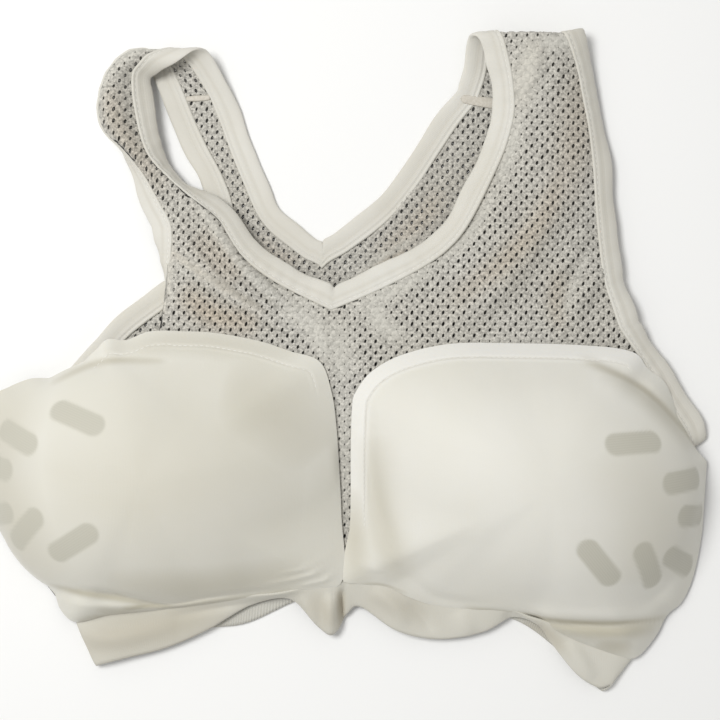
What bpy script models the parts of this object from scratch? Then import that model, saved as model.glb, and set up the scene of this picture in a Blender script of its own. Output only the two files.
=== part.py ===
"""Karate chest guard for women, lying on its back, in metres with +Z up.

A bra-shaped top holds two rigid cups under stretch covers. The floor is z = 0, +Y points from the
underband to the shoulders, and left and right are those of a viewer who looks down on the front.
"""

import math

import bmesh
import bpy
import numpy as np

# Driving sizes
WIDTH = 0.398
LENGTH = 0.366
RISE = 0.020
CUP_LENGTH = 0.180
CUP_DEPTH = 0.056
CUP_WALL = 0.003
SLOT_LENGTH = 0.031
SLOT_WIDTH = 0.013
MESH_WALL = 0.0012
COVER_WALL = 0.0012
BINDING_WIDTH = 0.0125
BINDING_WALL = 0.0022
BAND_WALL = 0.0020

# Clearances
SEAM_GAP = 0.0005
CUP_CLEARANCE = 0.0004
LEAST_FLANGE = 0.0015

# Fineness of the lofts
SPAN_STEPS = 2
FRONT_COLUMNS = 7
BACK_SPAN_STEPS = 1
INSERT_STEPS = 6
CUP_STATIONS = 32
CUP_RINGS = 6
FLANGE_RINGS = 3
BINDING_STEPS = 2
SLOT_END_STEPS = 6

UP = np.array([0.0, 0.0, 1.0])
LEAST_CURL = math.radians(1.0)

# Sections of the two shoulder pieces, from the foot of the neckline up over the shoulder fold to
# the shoulder seam. x is a share of WIDTH, y of LENGTH, and z and the arches of RISE. Each section
# runs from its arm seam to its neck seam, and an arch lifts it beside one of them. The curls, in
# degrees, say how far the binding on that seam rolls under.
# arm_x, arm_y, arm_z, neck_x, neck_y, neck_z, arm_arch, neck_arch, arm_curl, neck_curl
FRONT_SECTIONS = {
    "left": (
        (-0.253, 0.094, 0.55, -0.026, 0.076, 0.60, 0.05, 0.05, 170, 10),
        (-0.249, 0.139, 0.55, -0.104, 0.119, 0.63, 0.20, 0.15, 110, 15),
        (-0.247, 0.199, 0.50, -0.151, 0.159, 0.70, 0.15, 0.20, 12, 20),
        (-0.263, 0.236, 0.48, -0.180, 0.207, 0.75, 0.15, 0.25, 4, 20),
        (-0.286, 0.281, 0.50, -0.218, 0.243, 0.80, 0.20, 0.25, 4, 20),
        (-0.312, 0.316, 0.55, -0.250, 0.273, 0.80, 0.45, 0.25, 20, 15),
        (-0.339, 0.346, 0.60, -0.281, 0.313, 0.80, 0.90, 0.23, 90, 15),
        (-0.347, 0.378, 0.63, -0.297, 0.378, 0.80, 0.90, 0.23, 90, 15),
        (-0.340, 0.419, 0.65, -0.300, 0.426, 0.85, 0.75, 0.23, 90, 15),
        (-0.324, 0.446, 0.72, -0.290, 0.443, 0.93, 0.50, 0.20, 60, 15),
        (-0.303, 0.463, 0.74, -0.275, 0.458, 0.95, 0.25, 0.15, 40, 10),
        (-0.277, 0.467, 0.48, -0.245, 0.467, 0.66, 0.10, 0.10, 20, 5),
        (-0.254, 0.452, 0.27, -0.225, 0.450, 0.40, 0.00, 0.05, 0, 0),
        (-0.240, 0.425, 0.16, -0.209, 0.425, 0.22, 0.00, 0.00, 0, 0),
        (-0.229, 0.397, 0.13, -0.195, 0.399, 0.13, 0.00, 0.00, 0, 0),
    ),
    "right": (
        (0.373, 0.049, 0.55, -0.026, 0.076, 0.60, 0.10, 0.05, 30, 10),
        (0.362, 0.085, 0.55, 0.035, 0.104, 0.60, 0.15, 0.10, 30, 15),
        (0.351, 0.124, 0.53, 0.097, 0.138, 0.63, 0.25, 0.15, 25, 20),
        (0.344, 0.181, 0.53, 0.137, 0.169, 0.63, 0.30, 0.15, 20, 20),
        (0.340, 0.231, 0.53, 0.167, 0.211, 0.65, 0.30, 0.20, 20, 20),
        (0.336, 0.294, 0.53, 0.206, 0.297, 0.65, 0.30, 0.20, 20, 15),
        (0.330, 0.348, 0.55, 0.220, 0.339, 0.65, 0.30, 0.20, 30, 15),
        (0.322, 0.391, 0.60, 0.227, 0.378, 0.70, 0.30, 0.20, 30, 15),
        (0.314, 0.434, 0.65, 0.224, 0.422, 0.75, 0.25, 0.15, 30, 15),
        (0.305, 0.464, 0.75, 0.217, 0.459, 0.83, 0.20, 0.15, 30, 10),
        (0.297, 0.485, 0.80, 0.209, 0.486, 0.85, 0.15, 0.15, 20, 10),
        (0.290, 0.491, 0.65, 0.200, 0.492, 0.70, 0.10, 0.10, 10, 10),
        (0.290, 0.470, 0.30, 0.193, 0.473, 0.35, 0.00, 0.00, 0, 0),
        (0.293, 0.425, 0.13, 0.189, 0.434, 0.15, 0.00, 0.00, 0, 0),
        (0.293, 0.376, 0.11, 0.177, 0.394, 0.11, 0.00, 0.00, 0, 0),
    ),
}

# Sections of the back, in the same columns as far as neck_y: from the shoulder seam down to the
# underarm. The back lies flat on the floor but for its first sections, whose z leads to the seam.
# arm_x, arm_y, neck_x, neck_y, lift
BACK_SECTIONS = {
    "left": (
        (-0.229, 0.397, -0.195, 0.399, 0.10),
        (-0.217, 0.364, -0.182, 0.364, 0.04),
        (-0.200, 0.324, -0.166, 0.316, 0.0),
        (-0.180, 0.283, -0.148, 0.268, 0.0),
        (-0.166, 0.241, -0.130, 0.223, 0.0),
        (-0.163, 0.199, -0.111, 0.196, 0.0),
        (-0.177, 0.154, -0.086, 0.174, 0.0),
        (-0.213, 0.113, -0.064, 0.156, 0.0),
        (-0.260, 0.079, -0.039, 0.139, 0.0),
        (-0.307, 0.040, -0.035, 0.091, 0.0),
        (-0.337, 0.004, -0.030, 0.038, 0.0),
        (-0.381, -0.047, -0.028, -0.014, 0.0),
        (-0.449, -0.074, -0.026, -0.059, 0.0),
        (-0.485, -0.095, -0.025, -0.104, 0.0),
    ),
    "right": (
        (0.293, 0.376, 0.177, 0.394, 0.08),
        (0.307, 0.316, 0.152, 0.361, 0.03),
        (0.318, 0.256, 0.124, 0.316, 0.0),
        (0.332, 0.196, 0.097, 0.271, 0.0),
        (0.343, 0.148, 0.069, 0.232, 0.0),
        (0.354, 0.103, 0.047, 0.208, 0.0),
        (0.369, 0.058, 0.023, 0.187, 0.0),
        (0.387, 0.016, -0.004, 0.166, 0.0),
        (0.405, -0.013, -0.039, 0.139, 0.0),
        (0.421, -0.035, -0.035, 0.091, 0.0),
        (0.431, -0.056, -0.030, 0.038, 0.0),
        (0.442, -0.079, -0.028, -0.014, 0.0),
        (0.453, -0.104, -0.026, -0.059, 0.0),
        (0.463, -0.142, -0.025, -0.104, 0.0),
    ),
}
NECK_FOOT_ROW = 8

# Lower edge of the front mesh, tucked under the covers, from the arm seam to the foot of the V
# insert between the cups: x, y, z
FRONT_TUCK = {
    "left": (
        (-0.263, 0.029, 0.41),
        (-0.228, 0.028, 0.53),
        (-0.180, 0.023, 0.57),
        (-0.124, 0.011, 0.60),
        (-0.083, -0.005, 0.61),
        (-0.054, -0.026, 0.62),
        (-0.039, -0.059, 0.63),
        (-0.029, -0.119, 0.63),
        (-0.025, -0.210, 0.63),
        (-0.023, -0.277, 0.62),
        (-0.007, -0.306, 0.60),
    ),
    "right": (
        (0.401, 0.004, 0.49),
        (0.345, 0.005, 0.49),
        (0.283, 0.007, 0.51),
        (0.221, 0.011, 0.57),
        (0.137, 0.010, 0.60),
        (0.097, -0.001, 0.61),
        (0.058, -0.026, 0.62),
        (0.030, -0.059, 0.63),
        (0.019, -0.119, 0.63),
        (0.015, -0.210, 0.63),
        (0.011, -0.277, 0.62),
        (-0.007, -0.306, 0.60),
    ),
}

# Side edge and lower edge of the back, down to the middle of the underband seam: x, y
BACK_HEM = {
    "left": (
        (-0.497, -0.210),
        (-0.473, -0.277),
        (-0.431, -0.333),
        (-0.398, -0.375),
        (-0.368, -0.385),
        (-0.290, -0.360),
        (-0.207, -0.337),
        (-0.069, -0.300),
        (-0.017, -0.288),
    ),
    "right": (
        (0.484, -0.232),
        (0.470, -0.322),
        (0.439, -0.378),
        (0.397, -0.419),
        (0.366, -0.408),
        (0.332, -0.387),
        (0.235, -0.329),
        (0.124, -0.304),
        (-0.017, -0.288),
    ),
}

# Seam of each arm binding below the first front section, down to the underarm, where it turns to
# the back. On the left it rolls under the mesh and runs on hidden below the cover.
# x, y, z, then in degrees the bearing in which the binding leaves the seam, its dip and its curl
UNDERARM = {
    "left": (
        (-0.2585, 0.064, 0.49, 180, 0, 170),
        (-0.264, 0.037, 0.43, 172, 15, 140),
        (-0.280, 0.016, 0.34, 150, 25, 80),
        (-0.304, -0.002, 0.24, 135, 5, 10),
        (-0.337, -0.013, 0.19, 122, 0, 0),
        (-0.381, -0.047, 0.19, 112, 0, 0),
        (-0.449, -0.070, 0.18, 105, 0, 0),
        (-0.484, -0.085, 0.16, 100, 0, 0),
        (-0.491, -0.092, 0.12, 100, 0, 0),
    ),
    "right": (
        (0.390, 0.022, 0.53, 33, 20, 10),
        (0.410, -0.010, 0.50, 33, 22, 8),
        (0.431, -0.047, 0.45, 35, 20, 5),
        (0.448, -0.076, 0.40, 37, 18, 0),
        (0.465, -0.104, 0.33, 40, 12, 0),
        (0.474, -0.126, 0.23, 48, 0, 0),
        (0.474, -0.138, 0.14, 50, 0, 0),
    ),
}

# Edge of each cover: x, y, z, and how far its slack bellies up between the cup and the edge
COVER_EDGE = {
    "left": (
        (-0.276, 0.044, 0.55, 0),
        (-0.231, 0.044, 0.64, 0),
        (-0.182, 0.041, 0.67, 0),
        (-0.124, 0.029, 0.70, 0),
        (-0.082, 0.014, 0.71, 0),
        (-0.041, -0.002, 0.72, 0),
        (-0.025, -0.049, 0.72, 0),
        (-0.019, -0.095, 0.72, 0),
        (-0.015, -0.157, 0.72, 0),
        (-0.012, -0.225, 0.72, 0),
        (-0.012, -0.300, 0.68, 0),
        (-0.019, -0.334, 0.62, 0),
        (-0.044, -0.339, 0.65, 0),
        (-0.083, -0.345, 0.60, 0),
        (-0.138, -0.352, 0.55, 0),
        (-0.199, -0.361, 0.47, 0.10),
        (-0.256, -0.369, 0.42, 0.10),
        (-0.332, -0.379, 0.38, 0.15),
        (-0.379, -0.390, 0.33, 0.20),
        (-0.401, -0.372, 0.20, 0.10),
        (-0.412, -0.345, 0.13, 0),
        (-0.449, -0.310, 0.13, 0),
        (-0.475, -0.274, 0.12, 0),
        (-0.497, -0.222, 0.12, 0),
        (-0.504, -0.165, 0.15, 0),
        (-0.503, -0.107, 0.33, 0),
        (-0.489, -0.062, 0.36, 0),
        (-0.464, -0.046, 0.36, 0),
        (-0.435, -0.034, 0.39, 0),
        (-0.401, -0.023, 0.43, 0),
        (-0.373, -0.005, 0.47, 0),
        (-0.352, 0.016, 0.49, 0),
        (-0.336, 0.032, 0.50, 0),
        (-0.310, 0.031, 0.52, 0),
    ),
    "right": (
        (0.003, -0.067, 0.72, 0),
        (0.008, -0.047, 0.72, 0),
        (0.029, -0.017, 0.72, 0),
        (0.070, 0.008, 0.70, 0),
        (0.137, 0.025, 0.68, 0),
        (0.221, 0.026, 0.66, 0),
        (0.321, 0.023, 0.64, 0),
        (0.384, 0.014, 0.61, 0),
        (0.406, -0.014, 0.57, 0),
        (0.427, -0.050, 0.47, 0),
        (0.442, -0.093, 0.40, 0),
        (0.466, -0.138, 0.28, 0),
        (0.489, -0.165, 0.16, 0),
        (0.489, -0.217, 0.12, 0),
        (0.485, -0.270, 0.12, 0),
        (0.474, -0.327, 0.12, 0),
        (0.459, -0.363, 0.12, 0.10),
        (0.439, -0.382, 0.15, 0.10),
        (0.423, -0.414, 0.16, 0.10),
        (0.398, -0.444, 0.20, 0.10),
        (0.376, -0.444, 0.25, 0.10),
        (0.345, -0.431, 0.35, 0.10),
        (0.311, -0.416, 0.40, 0.10),
        (0.278, -0.397, 0.45, 0.10),
        (0.247, -0.378, 0.47, 0),
        (0.187, -0.372, 0.47, 0),
        (0.127, -0.366, 0.45, 0),
        (0.090, -0.354, 0.55, 0),
        (0.055, -0.336, 0.60, 0),
        (0.021, -0.330, 0.62, 0),
        (0.000, -0.327, 0.62, 0),
        (-0.003, -0.300, 0.68, 0),
        (0.000, -0.249, 0.72, 0),
        (0.001, -0.195, 0.72, 0),
        (0.001, -0.134, 0.72, 0),
    ),
}

# Stations of the underband, clockwise from its left fold along the front and home along the back:
# the seam edge and then the free edge, each x, y, z
BAND_STATIONS = (
    (-0.381, -0.394, 0.18, -0.354, -0.462, 0.17),
    (-0.370, -0.394, 0.30, -0.340, -0.458, 0.30),
    (-0.332, -0.385, 0.38, -0.311, -0.450, 0.30),
    (-0.256, -0.375, 0.42, -0.256, -0.435, 0.25),
    (-0.199, -0.366, 0.47, -0.199, -0.408, 0.25),
    (-0.138, -0.357, 0.55, -0.138, -0.370, 0.25),
    (-0.083, -0.349, 0.60, -0.084, -0.360, 0.25),
    (-0.044, -0.343, 0.65, -0.044, -0.403, 0.28),
    (-0.019, -0.340, 0.62, -0.023, -0.414, 0.25),
    (-0.006, -0.336, 0.53, -0.004, -0.384, 0.20),
    (0.011, -0.334, 0.60, 0.015, -0.373, 0.25),
    (0.055, -0.345, 0.58, 0.066, -0.409, 0.30),
    (0.127, -0.370, 0.45, 0.124, -0.422, 0.25),
    (0.187, -0.376, 0.47, 0.185, -0.411, 0.25),
    (0.227, -0.379, 0.47, 0.227, -0.388, 0.25),
    (0.250, -0.388, 0.47, 0.263, -0.399, 0.25),
    (0.278, -0.402, 0.45, 0.281, -0.428, 0.25),
    (0.311, -0.420, 0.40, 0.314, -0.473, 0.25),
    (0.345, -0.435, 0.35, 0.345, -0.495, 0.25),
    (0.376, -0.449, 0.28, 0.362, -0.492, 0.23),
    (0.395, -0.446, 0.15, 0.354, -0.501, 0.15),
    (0.381, -0.426, 0.05, 0.343, -0.495, 0.05),
    (0.332, -0.390, 0.05, 0.298, -0.447, 0.05),
    (0.235, -0.337, 0.05, 0.227, -0.393, 0.05),
    (0.124, -0.309, 0.05, 0.124, -0.378, 0.05),
    (-0.014, -0.292, 0.05, -0.014, -0.360, 0.05),
    (-0.069, -0.303, 0.05, -0.069, -0.363, 0.05),
    (-0.138, -0.322, 0.05, -0.145, -0.399, 0.05),
    (-0.207, -0.342, 0.05, -0.203, -0.408, 0.05),
    (-0.290, -0.363, 0.05, -0.276, -0.431, 0.05),
    (-0.365, -0.388, 0.05, -0.340, -0.444, 0.05),
)

# Plan and profile of the right cup at every 15 degrees, anticlockwise from the outer side: its
# reach as a share of CUP_LENGTH, the height of its rim as a share of RISE, and the exponent of its
# profile, which is a quarter ellipse at 0.5 and a parabola at 1
CUP_PLAN = (
    (0.480, 0.16, 0.50),
    (0.450, 0.36, 0.50),
    (0.416, 0.46, 0.52),
    (0.394, 0.50, 0.55),
    (0.384, 0.56, 0.62),
    (0.371, 0.65, 0.70),
    (0.371, 0.68, 0.78),
    (0.386, 0.70, 0.82),
    (0.429, 0.76, 0.85),
    (0.494, 0.82, 0.88),
    (0.556, 0.86, 0.92),
    (0.553, 0.88, 0.92),
    (0.524, 0.88, 0.90),
    (0.485, 0.86, 0.88),
    (0.450, 0.76, 0.85),
    (0.400, 0.62, 0.80),
    (0.384, 0.46, 0.72),
    (0.378, 0.34, 0.65),
    (0.384, 0.26, 0.60),
    (0.426, 0.20, 0.56),
    (0.461, 0.16, 0.54),
    (0.480, 0.14, 0.52),
    (0.484, 0.13, 0.50),
    (0.482, 0.13, 0.50),
)

# Where each cup lies: the x and y of its middle as shares, and its turn in degrees
CUP_PLACES = {
    "left": (-0.276, -0.177, -18),
    "right": (0.269, -0.180, 0),
}

# Ventilation slots of the right cup: bearing in degrees, reach as a share of the cup's own reach
# there, and lean in degrees from the radius
SLOTS = (
    (27, 0.64, -22),
    (1, 0.84, 4),
    (-13, 0.94, 4),
    (-31, 0.95, 0),
    (-40, 0.79, -20),
    (-59, 0.58, 8),
)


def spline(rows, steps):
    """Rows along a smooth curve through these, steps to each span."""
    rows = np.asarray(rows, float)
    ends = np.vstack([2 * rows[0] - rows[1], rows, 2 * rows[-1] - rows[-2]])
    return np.vstack([spans(ends, steps), rows[-1:]])


def loop(rows, steps):
    """The same for a closed curve, whose last span leads back to its first row."""
    rows = np.asarray(rows, float)
    return spans(np.vstack([rows[-1:], rows, rows[:2]]), steps)


def spans(rows, steps):
    t = np.linspace(0.0, 1.0, steps, endpoint=False)[:, None]
    pieces = []
    for a, b, c, d in zip(rows, rows[1:], rows[2:], rows[3:]):
        cubic = (2 * a - 5 * b + 4 * c - d) + t * (3 * (b - c) + d - a)
        pieces.append(b + 0.5 * t * ((c - a) + t * cubic))
    return np.vstack(pieces)


def even(rows, count):
    """The rows read again at equal distances, measured over their first three columns."""
    lengths = np.linalg.norm(np.diff(rows[:, :3], axis=0), axis=1)
    run = np.concatenate([[0.0], np.cumsum(lengths)])
    marks = np.linspace(0.0, run[-1], count)
    return np.column_stack([np.interp(marks, run, column) for column in rows.T])


def unit(vectors):
    return vectors / np.linalg.norm(vectors, axis=-1, keepdims=True)


def placed(rows):
    """Rows of x, y and z shares as points."""
    return np.asarray(rows, float)[:, :3] * (WIDTH, LENGTH, RISE)


def section(arm, neck, arm_arch, neck_arch, columns):
    """Points across a shoulder piece, evenly spaced along a cubic from seam to seam."""
    third = (neck - arm) / 3
    handles = (arm, arm + third + UP * arm_arch, neck - third + UP * neck_arch, neck)
    t = np.linspace(0.0, 1.0, 4 * columns)[:, None]
    weights = ((1 - t) ** 3, 3 * t * (1 - t) ** 2, 3 * t**2 * (1 - t), t**3)
    return even(sum(w * h for w, h in zip(weights, handles)), columns)


def front_surface(side):
    """Grid of the front above the neckline's foot, and the curls of its two bindings by row."""
    rows = spline(FRONT_SECTIONS[side], SPAN_STEPS)
    arms = placed(rows[:, 0:3])
    necks = placed(rows[:, 3:6])
    arches = rows[:, 6:8] * RISE
    grid = [section(*row, FRONT_COLUMNS) for row in zip(arms, necks, *arches.T)]
    return np.array(grid), np.radians(rows[:, 8:10])


def back_surface(side):
    """Grid of the back from the shoulder seam down to the underarm."""
    rows = spline(BACK_SECTIONS[side], BACK_SPAN_STEPS)
    heights = MESH_WALL / 2 + np.maximum(rows[:, 4], 0.0) * RISE
    arms = np.column_stack([rows[:, 0] * WIDTH, rows[:, 1] * LENGTH, heights])
    necks = np.column_stack([rows[:, 2] * WIDTH, rows[:, 3] * LENGTH, heights])
    columns = len(BACK_HEM[side])
    grid = [section(arm, neck, 0.0, 0.0, columns) for arm, neck in zip(arms, necks)]
    return np.array(grid)


def ruled(lower, upper, steps):
    """Grid between two rows of points, without the upper one."""
    shares = np.linspace(0.0, 1.0, steps, endpoint=False)[:, None, None]
    return lower * (1 - shares) + upper * shares


def draw_in(grid, rows, edge, inner, gap):
    """Moves the points of one edge towards their inner neighbours by the gap."""
    grid[rows, edge] += gap * unit(grid[rows, inner] - grid[rows, edge])


def seam_frames(grid, edge, inner, turn):
    """Seam points, the directions in which a binding leaves them, and the outer face's normals."""
    seam = grid[:, edge]
    along = unit(np.gradient(seam, axis=0))
    out = seam - grid[:, inner]
    out = unit(out - along * (out * along).sum(axis=1, keepdims=True))
    return np.hstack([seam, out, turn * np.cross(along, out)])


def underarm_frames(side):
    rows = spline(UNDERARM[side], SPAN_STEPS)
    bearing, dip, curl = np.radians(rows[:, 3:6]).T
    flat = np.column_stack([np.cos(bearing), np.sin(bearing)])
    out = np.column_stack([flat * np.cos(dip)[:, None], -np.sin(dip)])
    normal = np.column_stack([flat * np.sin(dip)[:, None], np.cos(dip)])
    return np.hstack([placed(rows), out, normal, curl[:, None]])


def strip(frames):
    """Closed binding grid: each cross-section leaves its seam and rolls by its curl."""
    seam, out, normal = frames[:, 0:3], unit(frames[:, 3:6]), unit(frames[:, 6:9])
    curl = np.maximum(frames[:, 9:10], LEAST_CURL)
    radius = BINDING_WIDTH / curl
    lowest = np.minimum(seam[:, 2], MESH_WALL + SEAM_GAP + BINDING_WALL / 2)
    lowest = np.maximum(lowest, BINDING_WALL / 2)
    columns = []
    for reach in np.linspace(SEAM_GAP / 2, BINDING_WIDTH, BINDING_STEPS + 1):
        angle = curl * reach / BINDING_WIDTH
        drop = radius * (1 - np.cos(angle))
        column = seam + out * radius * np.sin(angle) - normal * drop
        column[:, 2] = np.maximum(column[:, 2], lowest)
        columns.append(column)
    return np.stack(columns, axis=1)


def principled(name, colour, roughness):
    material = bpy.data.materials.new(name)
    material.use_nodes = True
    shader = material.node_tree.nodes["Principled BSDF"]
    shader.inputs["Base Color"].default_value = (*colour, 1.0)
    shader.inputs["Roughness"].default_value = roughness
    shader.inputs["Metallic"].default_value = 0.0
    material.diffuse_color = (*colour, 1.0)
    return material


def add_object(name, mesh, material, collection):
    new = bpy.data.objects.new(name, mesh)
    collection.objects.link(new)
    if material:
        mesh.materials.append(material)
    return new


def loft(grids, closed_rows=False, closed_columns=False):
    """One open surface through grids of points, merged where they share an edge."""
    surface = bmesh.new()
    for grid in grids:
        rows, columns = grid.shape[:2]
        points = [[surface.verts.new(point) for point in row] for row in grid]
        for i in range(rows if closed_rows else rows - 1):
            for j in range(columns if closed_columns else columns - 1):
                k, m = (i + 1) % rows, (j + 1) % columns
                surface.faces.new((points[i][j], points[i][m], points[k][m], points[k][j]))
    bmesh.ops.remove_doubles(surface, verts=surface.verts, dist=0.00001)
    bmesh.ops.recalc_face_normals(surface, faces=surface.faces)
    return surface


def sheet(name, surface, wall, offset, material, collection):
    """A cloth or plastic wall: the surface with its thickness."""
    mesh = bpy.data.meshes.new(name)
    surface.to_mesh(mesh)
    surface.free()
    mesh.shade_smooth()
    made = add_object(name, mesh, material, collection)
    thickness = made.modifiers.new("wall", "SOLIDIFY")
    thickness.thickness = wall
    thickness.offset = offset
    return made


def cup_stations():
    """Bearing, reach, rim height and profile exponent at each station round a cup."""
    plan = loop(CUP_PLAN, 12)
    bearings = np.linspace(0.0, 2 * math.pi, CUP_STATIONS, endpoint=False)
    known = np.linspace(0.0, 2 * math.pi, len(plan), endpoint=False)
    reach, rim, power = (np.interp(bearings, known, c, period=2 * math.pi) for c in plan.T)
    return bearings, reach * CUP_LENGTH, rim * RISE, power


def dome_point(bearing, share, reach, rim, power):
    radius = share * reach
    height = rim + (CUP_DEPTH - rim) * np.maximum(1 - share**2, 0.0) ** power
    return np.stack([radius * np.cos(bearing), radius * np.sin(bearing), height], axis=-1)


def dome_grid():
    """Outer face of the right cup about its own middle: rings from the top to the rim."""
    stations = cup_stations()
    shares = np.sin(np.linspace(0.0, math.pi / 2, CUP_RINGS + 1))
    return np.array([dome_point(stations[0], share, *stations[1:]) for share in shares])


def ring_normals(grid):
    """Outward normals of a grid of closed rings round a top."""
    around = np.roll(grid, -1, axis=1) - np.roll(grid, 1, axis=1)
    down = np.gradient(grid, axis=0)
    around[0] = around[1]
    normals = unit(np.cross(down, around))
    normals[0] = UP
    return normals


def cup_to_world(points, side):
    """Points of the right cup's own plan, mirrored for the left, turned and moved into place."""
    x, y, turn = CUP_PLACES[side]
    c, s = math.cos(math.radians(turn)), math.sin(math.radians(turn))
    moved = np.array(points, float)
    if side == "left":
        moved[..., 0] *= -1
    moved[..., :2] = moved[..., :2] @ np.array([[c, s], [-s, c]])
    moved[..., :2] += (x * WIDTH, y * LENGTH)
    return moved


def world_to_cup(points, side):
    x, y, turn = CUP_PLACES[side]
    c, s = math.cos(math.radians(turn)), math.sin(math.radians(turn))
    moved = np.array(points, float)
    moved[..., :2] -= (x * WIDTH, y * LENGTH)
    moved[..., :2] = moved[..., :2] @ np.array([[c, -s], [s, c]])
    if side == "left":
        moved[..., 0] *= -1
    return moved


def taut(grid):
    """The rings with each outward line pulled straight from the edge to where it meets the dome."""
    reach = np.hypot(grid[..., 0], grid[..., 1])
    run = np.maximum(reach[-1] - reach[:-1], LEAST_FLANGE / 2)
    rise = (grid[:-1, :, 2] - grid[-1, :, 2]) / run
    line = grid[-1, :, 2] + rise.max(axis=0) * (reach[-1] - reach)
    met = rise.argmax(axis=0)
    beyond = np.arange(len(grid))[:, None] > met
    grid[..., 2] = np.where(beyond, line, grid[..., 2])
    return grid


def cover_grid(side):
    """Rings of a cover: over the dome, then out across the flange to the cover's own edge."""
    dome = dome_grid()
    over = dome + ring_normals(dome) * (CUP_CLEARANCE + COVER_WALL / 2)
    rim = over[-1]
    edge = loop(COVER_EDGE[side], 6)
    points = world_to_cup(placed(edge), side)
    bearings = np.arctan2(points[:, 1], points[:, 0])
    order = np.argsort(bearings)
    wanted = np.arctan2(rim[:, 1], rim[:, 0])
    columns = np.column_stack([np.hypot(points[:, 0], points[:, 1]), points[:, 2], edge[:, 3] * RISE])
    read = [np.interp(wanted, bearings[order], c[order], period=2 * math.pi) for c in columns.T]
    reach = np.maximum(read[0], np.hypot(rim[:, 0], rim[:, 1]) + LEAST_FLANGE)
    outer = np.column_stack([reach * np.cos(wanted), reach * np.sin(wanted), read[1]])
    rings = []
    for share in np.linspace(0.0, 1.0, FLANGE_RINGS + 1)[1:]:
        slack = UP * (4 * share * (1 - share) * read[2])[:, None]
        rings.append(rim * (1 - share) + outer * share + slack)
    return taut(np.vstack([over, np.array(rings)]))


def slot_cutter(side, collection):
    """Six rounded bars that cut one cup's slots, each square to the dome where it lies."""
    bars = bmesh.new()
    bearings, reach, rim, power = cup_stations()
    straight = (SLOT_LENGTH - SLOT_WIDTH) / 2
    for bearing, share, lean in SLOTS:
        angle = math.radians(bearing) % (2 * math.pi)
        here = [np.interp(angle, bearings, c, period=2 * math.pi) for c in (reach, rim, power)]
        middle = dome_point(angle, share, *here)
        outward = unit(dome_point(angle, share + 0.02, *here) - middle)
        normal = unit(np.cross(outward, (-math.sin(angle), math.cos(angle), 0.0)))
        sideways = np.cross(normal, outward)
        c, s = math.cos(math.radians(lean)), math.sin(math.radians(lean))
        along, athwart = outward * c + sideways * s, sideways * c - outward * s
        outline = []
        for end in (1, -1):
            for turn in np.linspace(-math.pi / 2, math.pi / 2, SLOT_END_STEPS + 1):
                tip = straight + SLOT_WIDTH / 2 * math.cos(turn)
                outline.append(end * (along * tip + athwart * SLOT_WIDTH / 2 * math.sin(turn)))
        foot = cup_to_world(middle - normal * 3 * CUP_WALL + np.array(outline), side)
        head = cup_to_world(middle + normal * 3 * CUP_WALL + np.array(outline), side)
        face = bars.faces.new([bars.verts.new(point) for point in foot])
        top = bmesh.ops.extrude_face_region(bars, geom=[face])["geom"]
        lifted = [v for v in top if isinstance(v, bmesh.types.BMVert)]
        bmesh.ops.translate(bars, verts=lifted, vec=head[0] - foot[0])
    bmesh.ops.recalc_face_normals(bars, faces=bars.faces)
    mesh = bpy.data.meshes.new("slot_cutter_" + side)
    bars.to_mesh(mesh)
    bars.free()
    cutter = add_object("slot_cutter_" + side, mesh, None, collection)
    cutter.hide_render = True
    cutter.display_type = "WIRE"
    return cutter


def make_cup(side, parts, cutters, material):
    surface = loft([cup_to_world(dome_grid(), side)], closed_columns=True)
    top = max(surface.faces, key=lambda face: face.calc_center_median().z)
    if top.normal.z < 0:
        bmesh.ops.reverse_faces(surface, faces=surface.faces)
    cup = sheet("cup_" + side, surface, CUP_WALL, -1.0, material, parts)
    cut = cup.modifiers.new("slots", "BOOLEAN")
    cut.operation = "DIFFERENCE"
    cut.use_self = True
    cut.object = slot_cutter(side, cutters)


def make_cover(side, parts, material):
    surface = loft([cup_to_world(cover_grid(side), side)], closed_columns=True)
    sheet("cover_" + side, surface, COVER_WALL, 0.0, material, parts)


def make_front_mesh(fronts, parts, material):
    grids = []
    for side, (upper, _) in fronts.items():
        upper = upper.copy()
        upper[0, -1, 1] -= SEAM_GAP
        draw_in(upper, slice(1, None), -1, -2, SEAM_GAP)
        tuck = even(spline(placed(FRONT_TUCK[side]), SPAN_STEPS), FRONT_COLUMNS)
        grid = np.vstack([ruled(tuck, upper[0], INSERT_STEPS), upper])
        draw_in(grid, slice(None), 0, 1, SEAM_GAP)
        grid[-1] += SEAM_GAP / 2 * unit(grid[-2] - grid[-1])
        grids.append(grid)
    sheet("front_mesh", loft(grids), MESH_WALL, 0.0, material, parts)


def make_back_mesh(backs, parts, material):
    foot = NECK_FOOT_ROW * BACK_SPAN_STEPS
    middle = (backs["left"][foot:, -1] + backs["right"][foot:, -1]) / 2
    grids = []
    for side, upper in backs.items():
        upper = upper.copy()
        upper[foot:, -1] = middle
        upper[foot, -1, 1] -= SEAM_GAP
        draw_in(upper, slice(0, foot), -1, -2, SEAM_GAP)
        upper[0] += SEAM_GAP / 2 * unit(upper[1] - upper[0])
        hem = np.column_stack([BACK_HEM[side], np.zeros(len(BACK_HEM[side]))])
        hem = placed(hem) + UP * MESH_WALL / 2
        grid = np.vstack([upper, ruled(hem, upper[-1], INSERT_STEPS)[::-1]])
        draw_in(grid, slice(None), 0, 1, SEAM_GAP)
        grids.append(grid)
    sheet("back_mesh", loft(grids), MESH_WALL, 0.0, material, parts)


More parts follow.
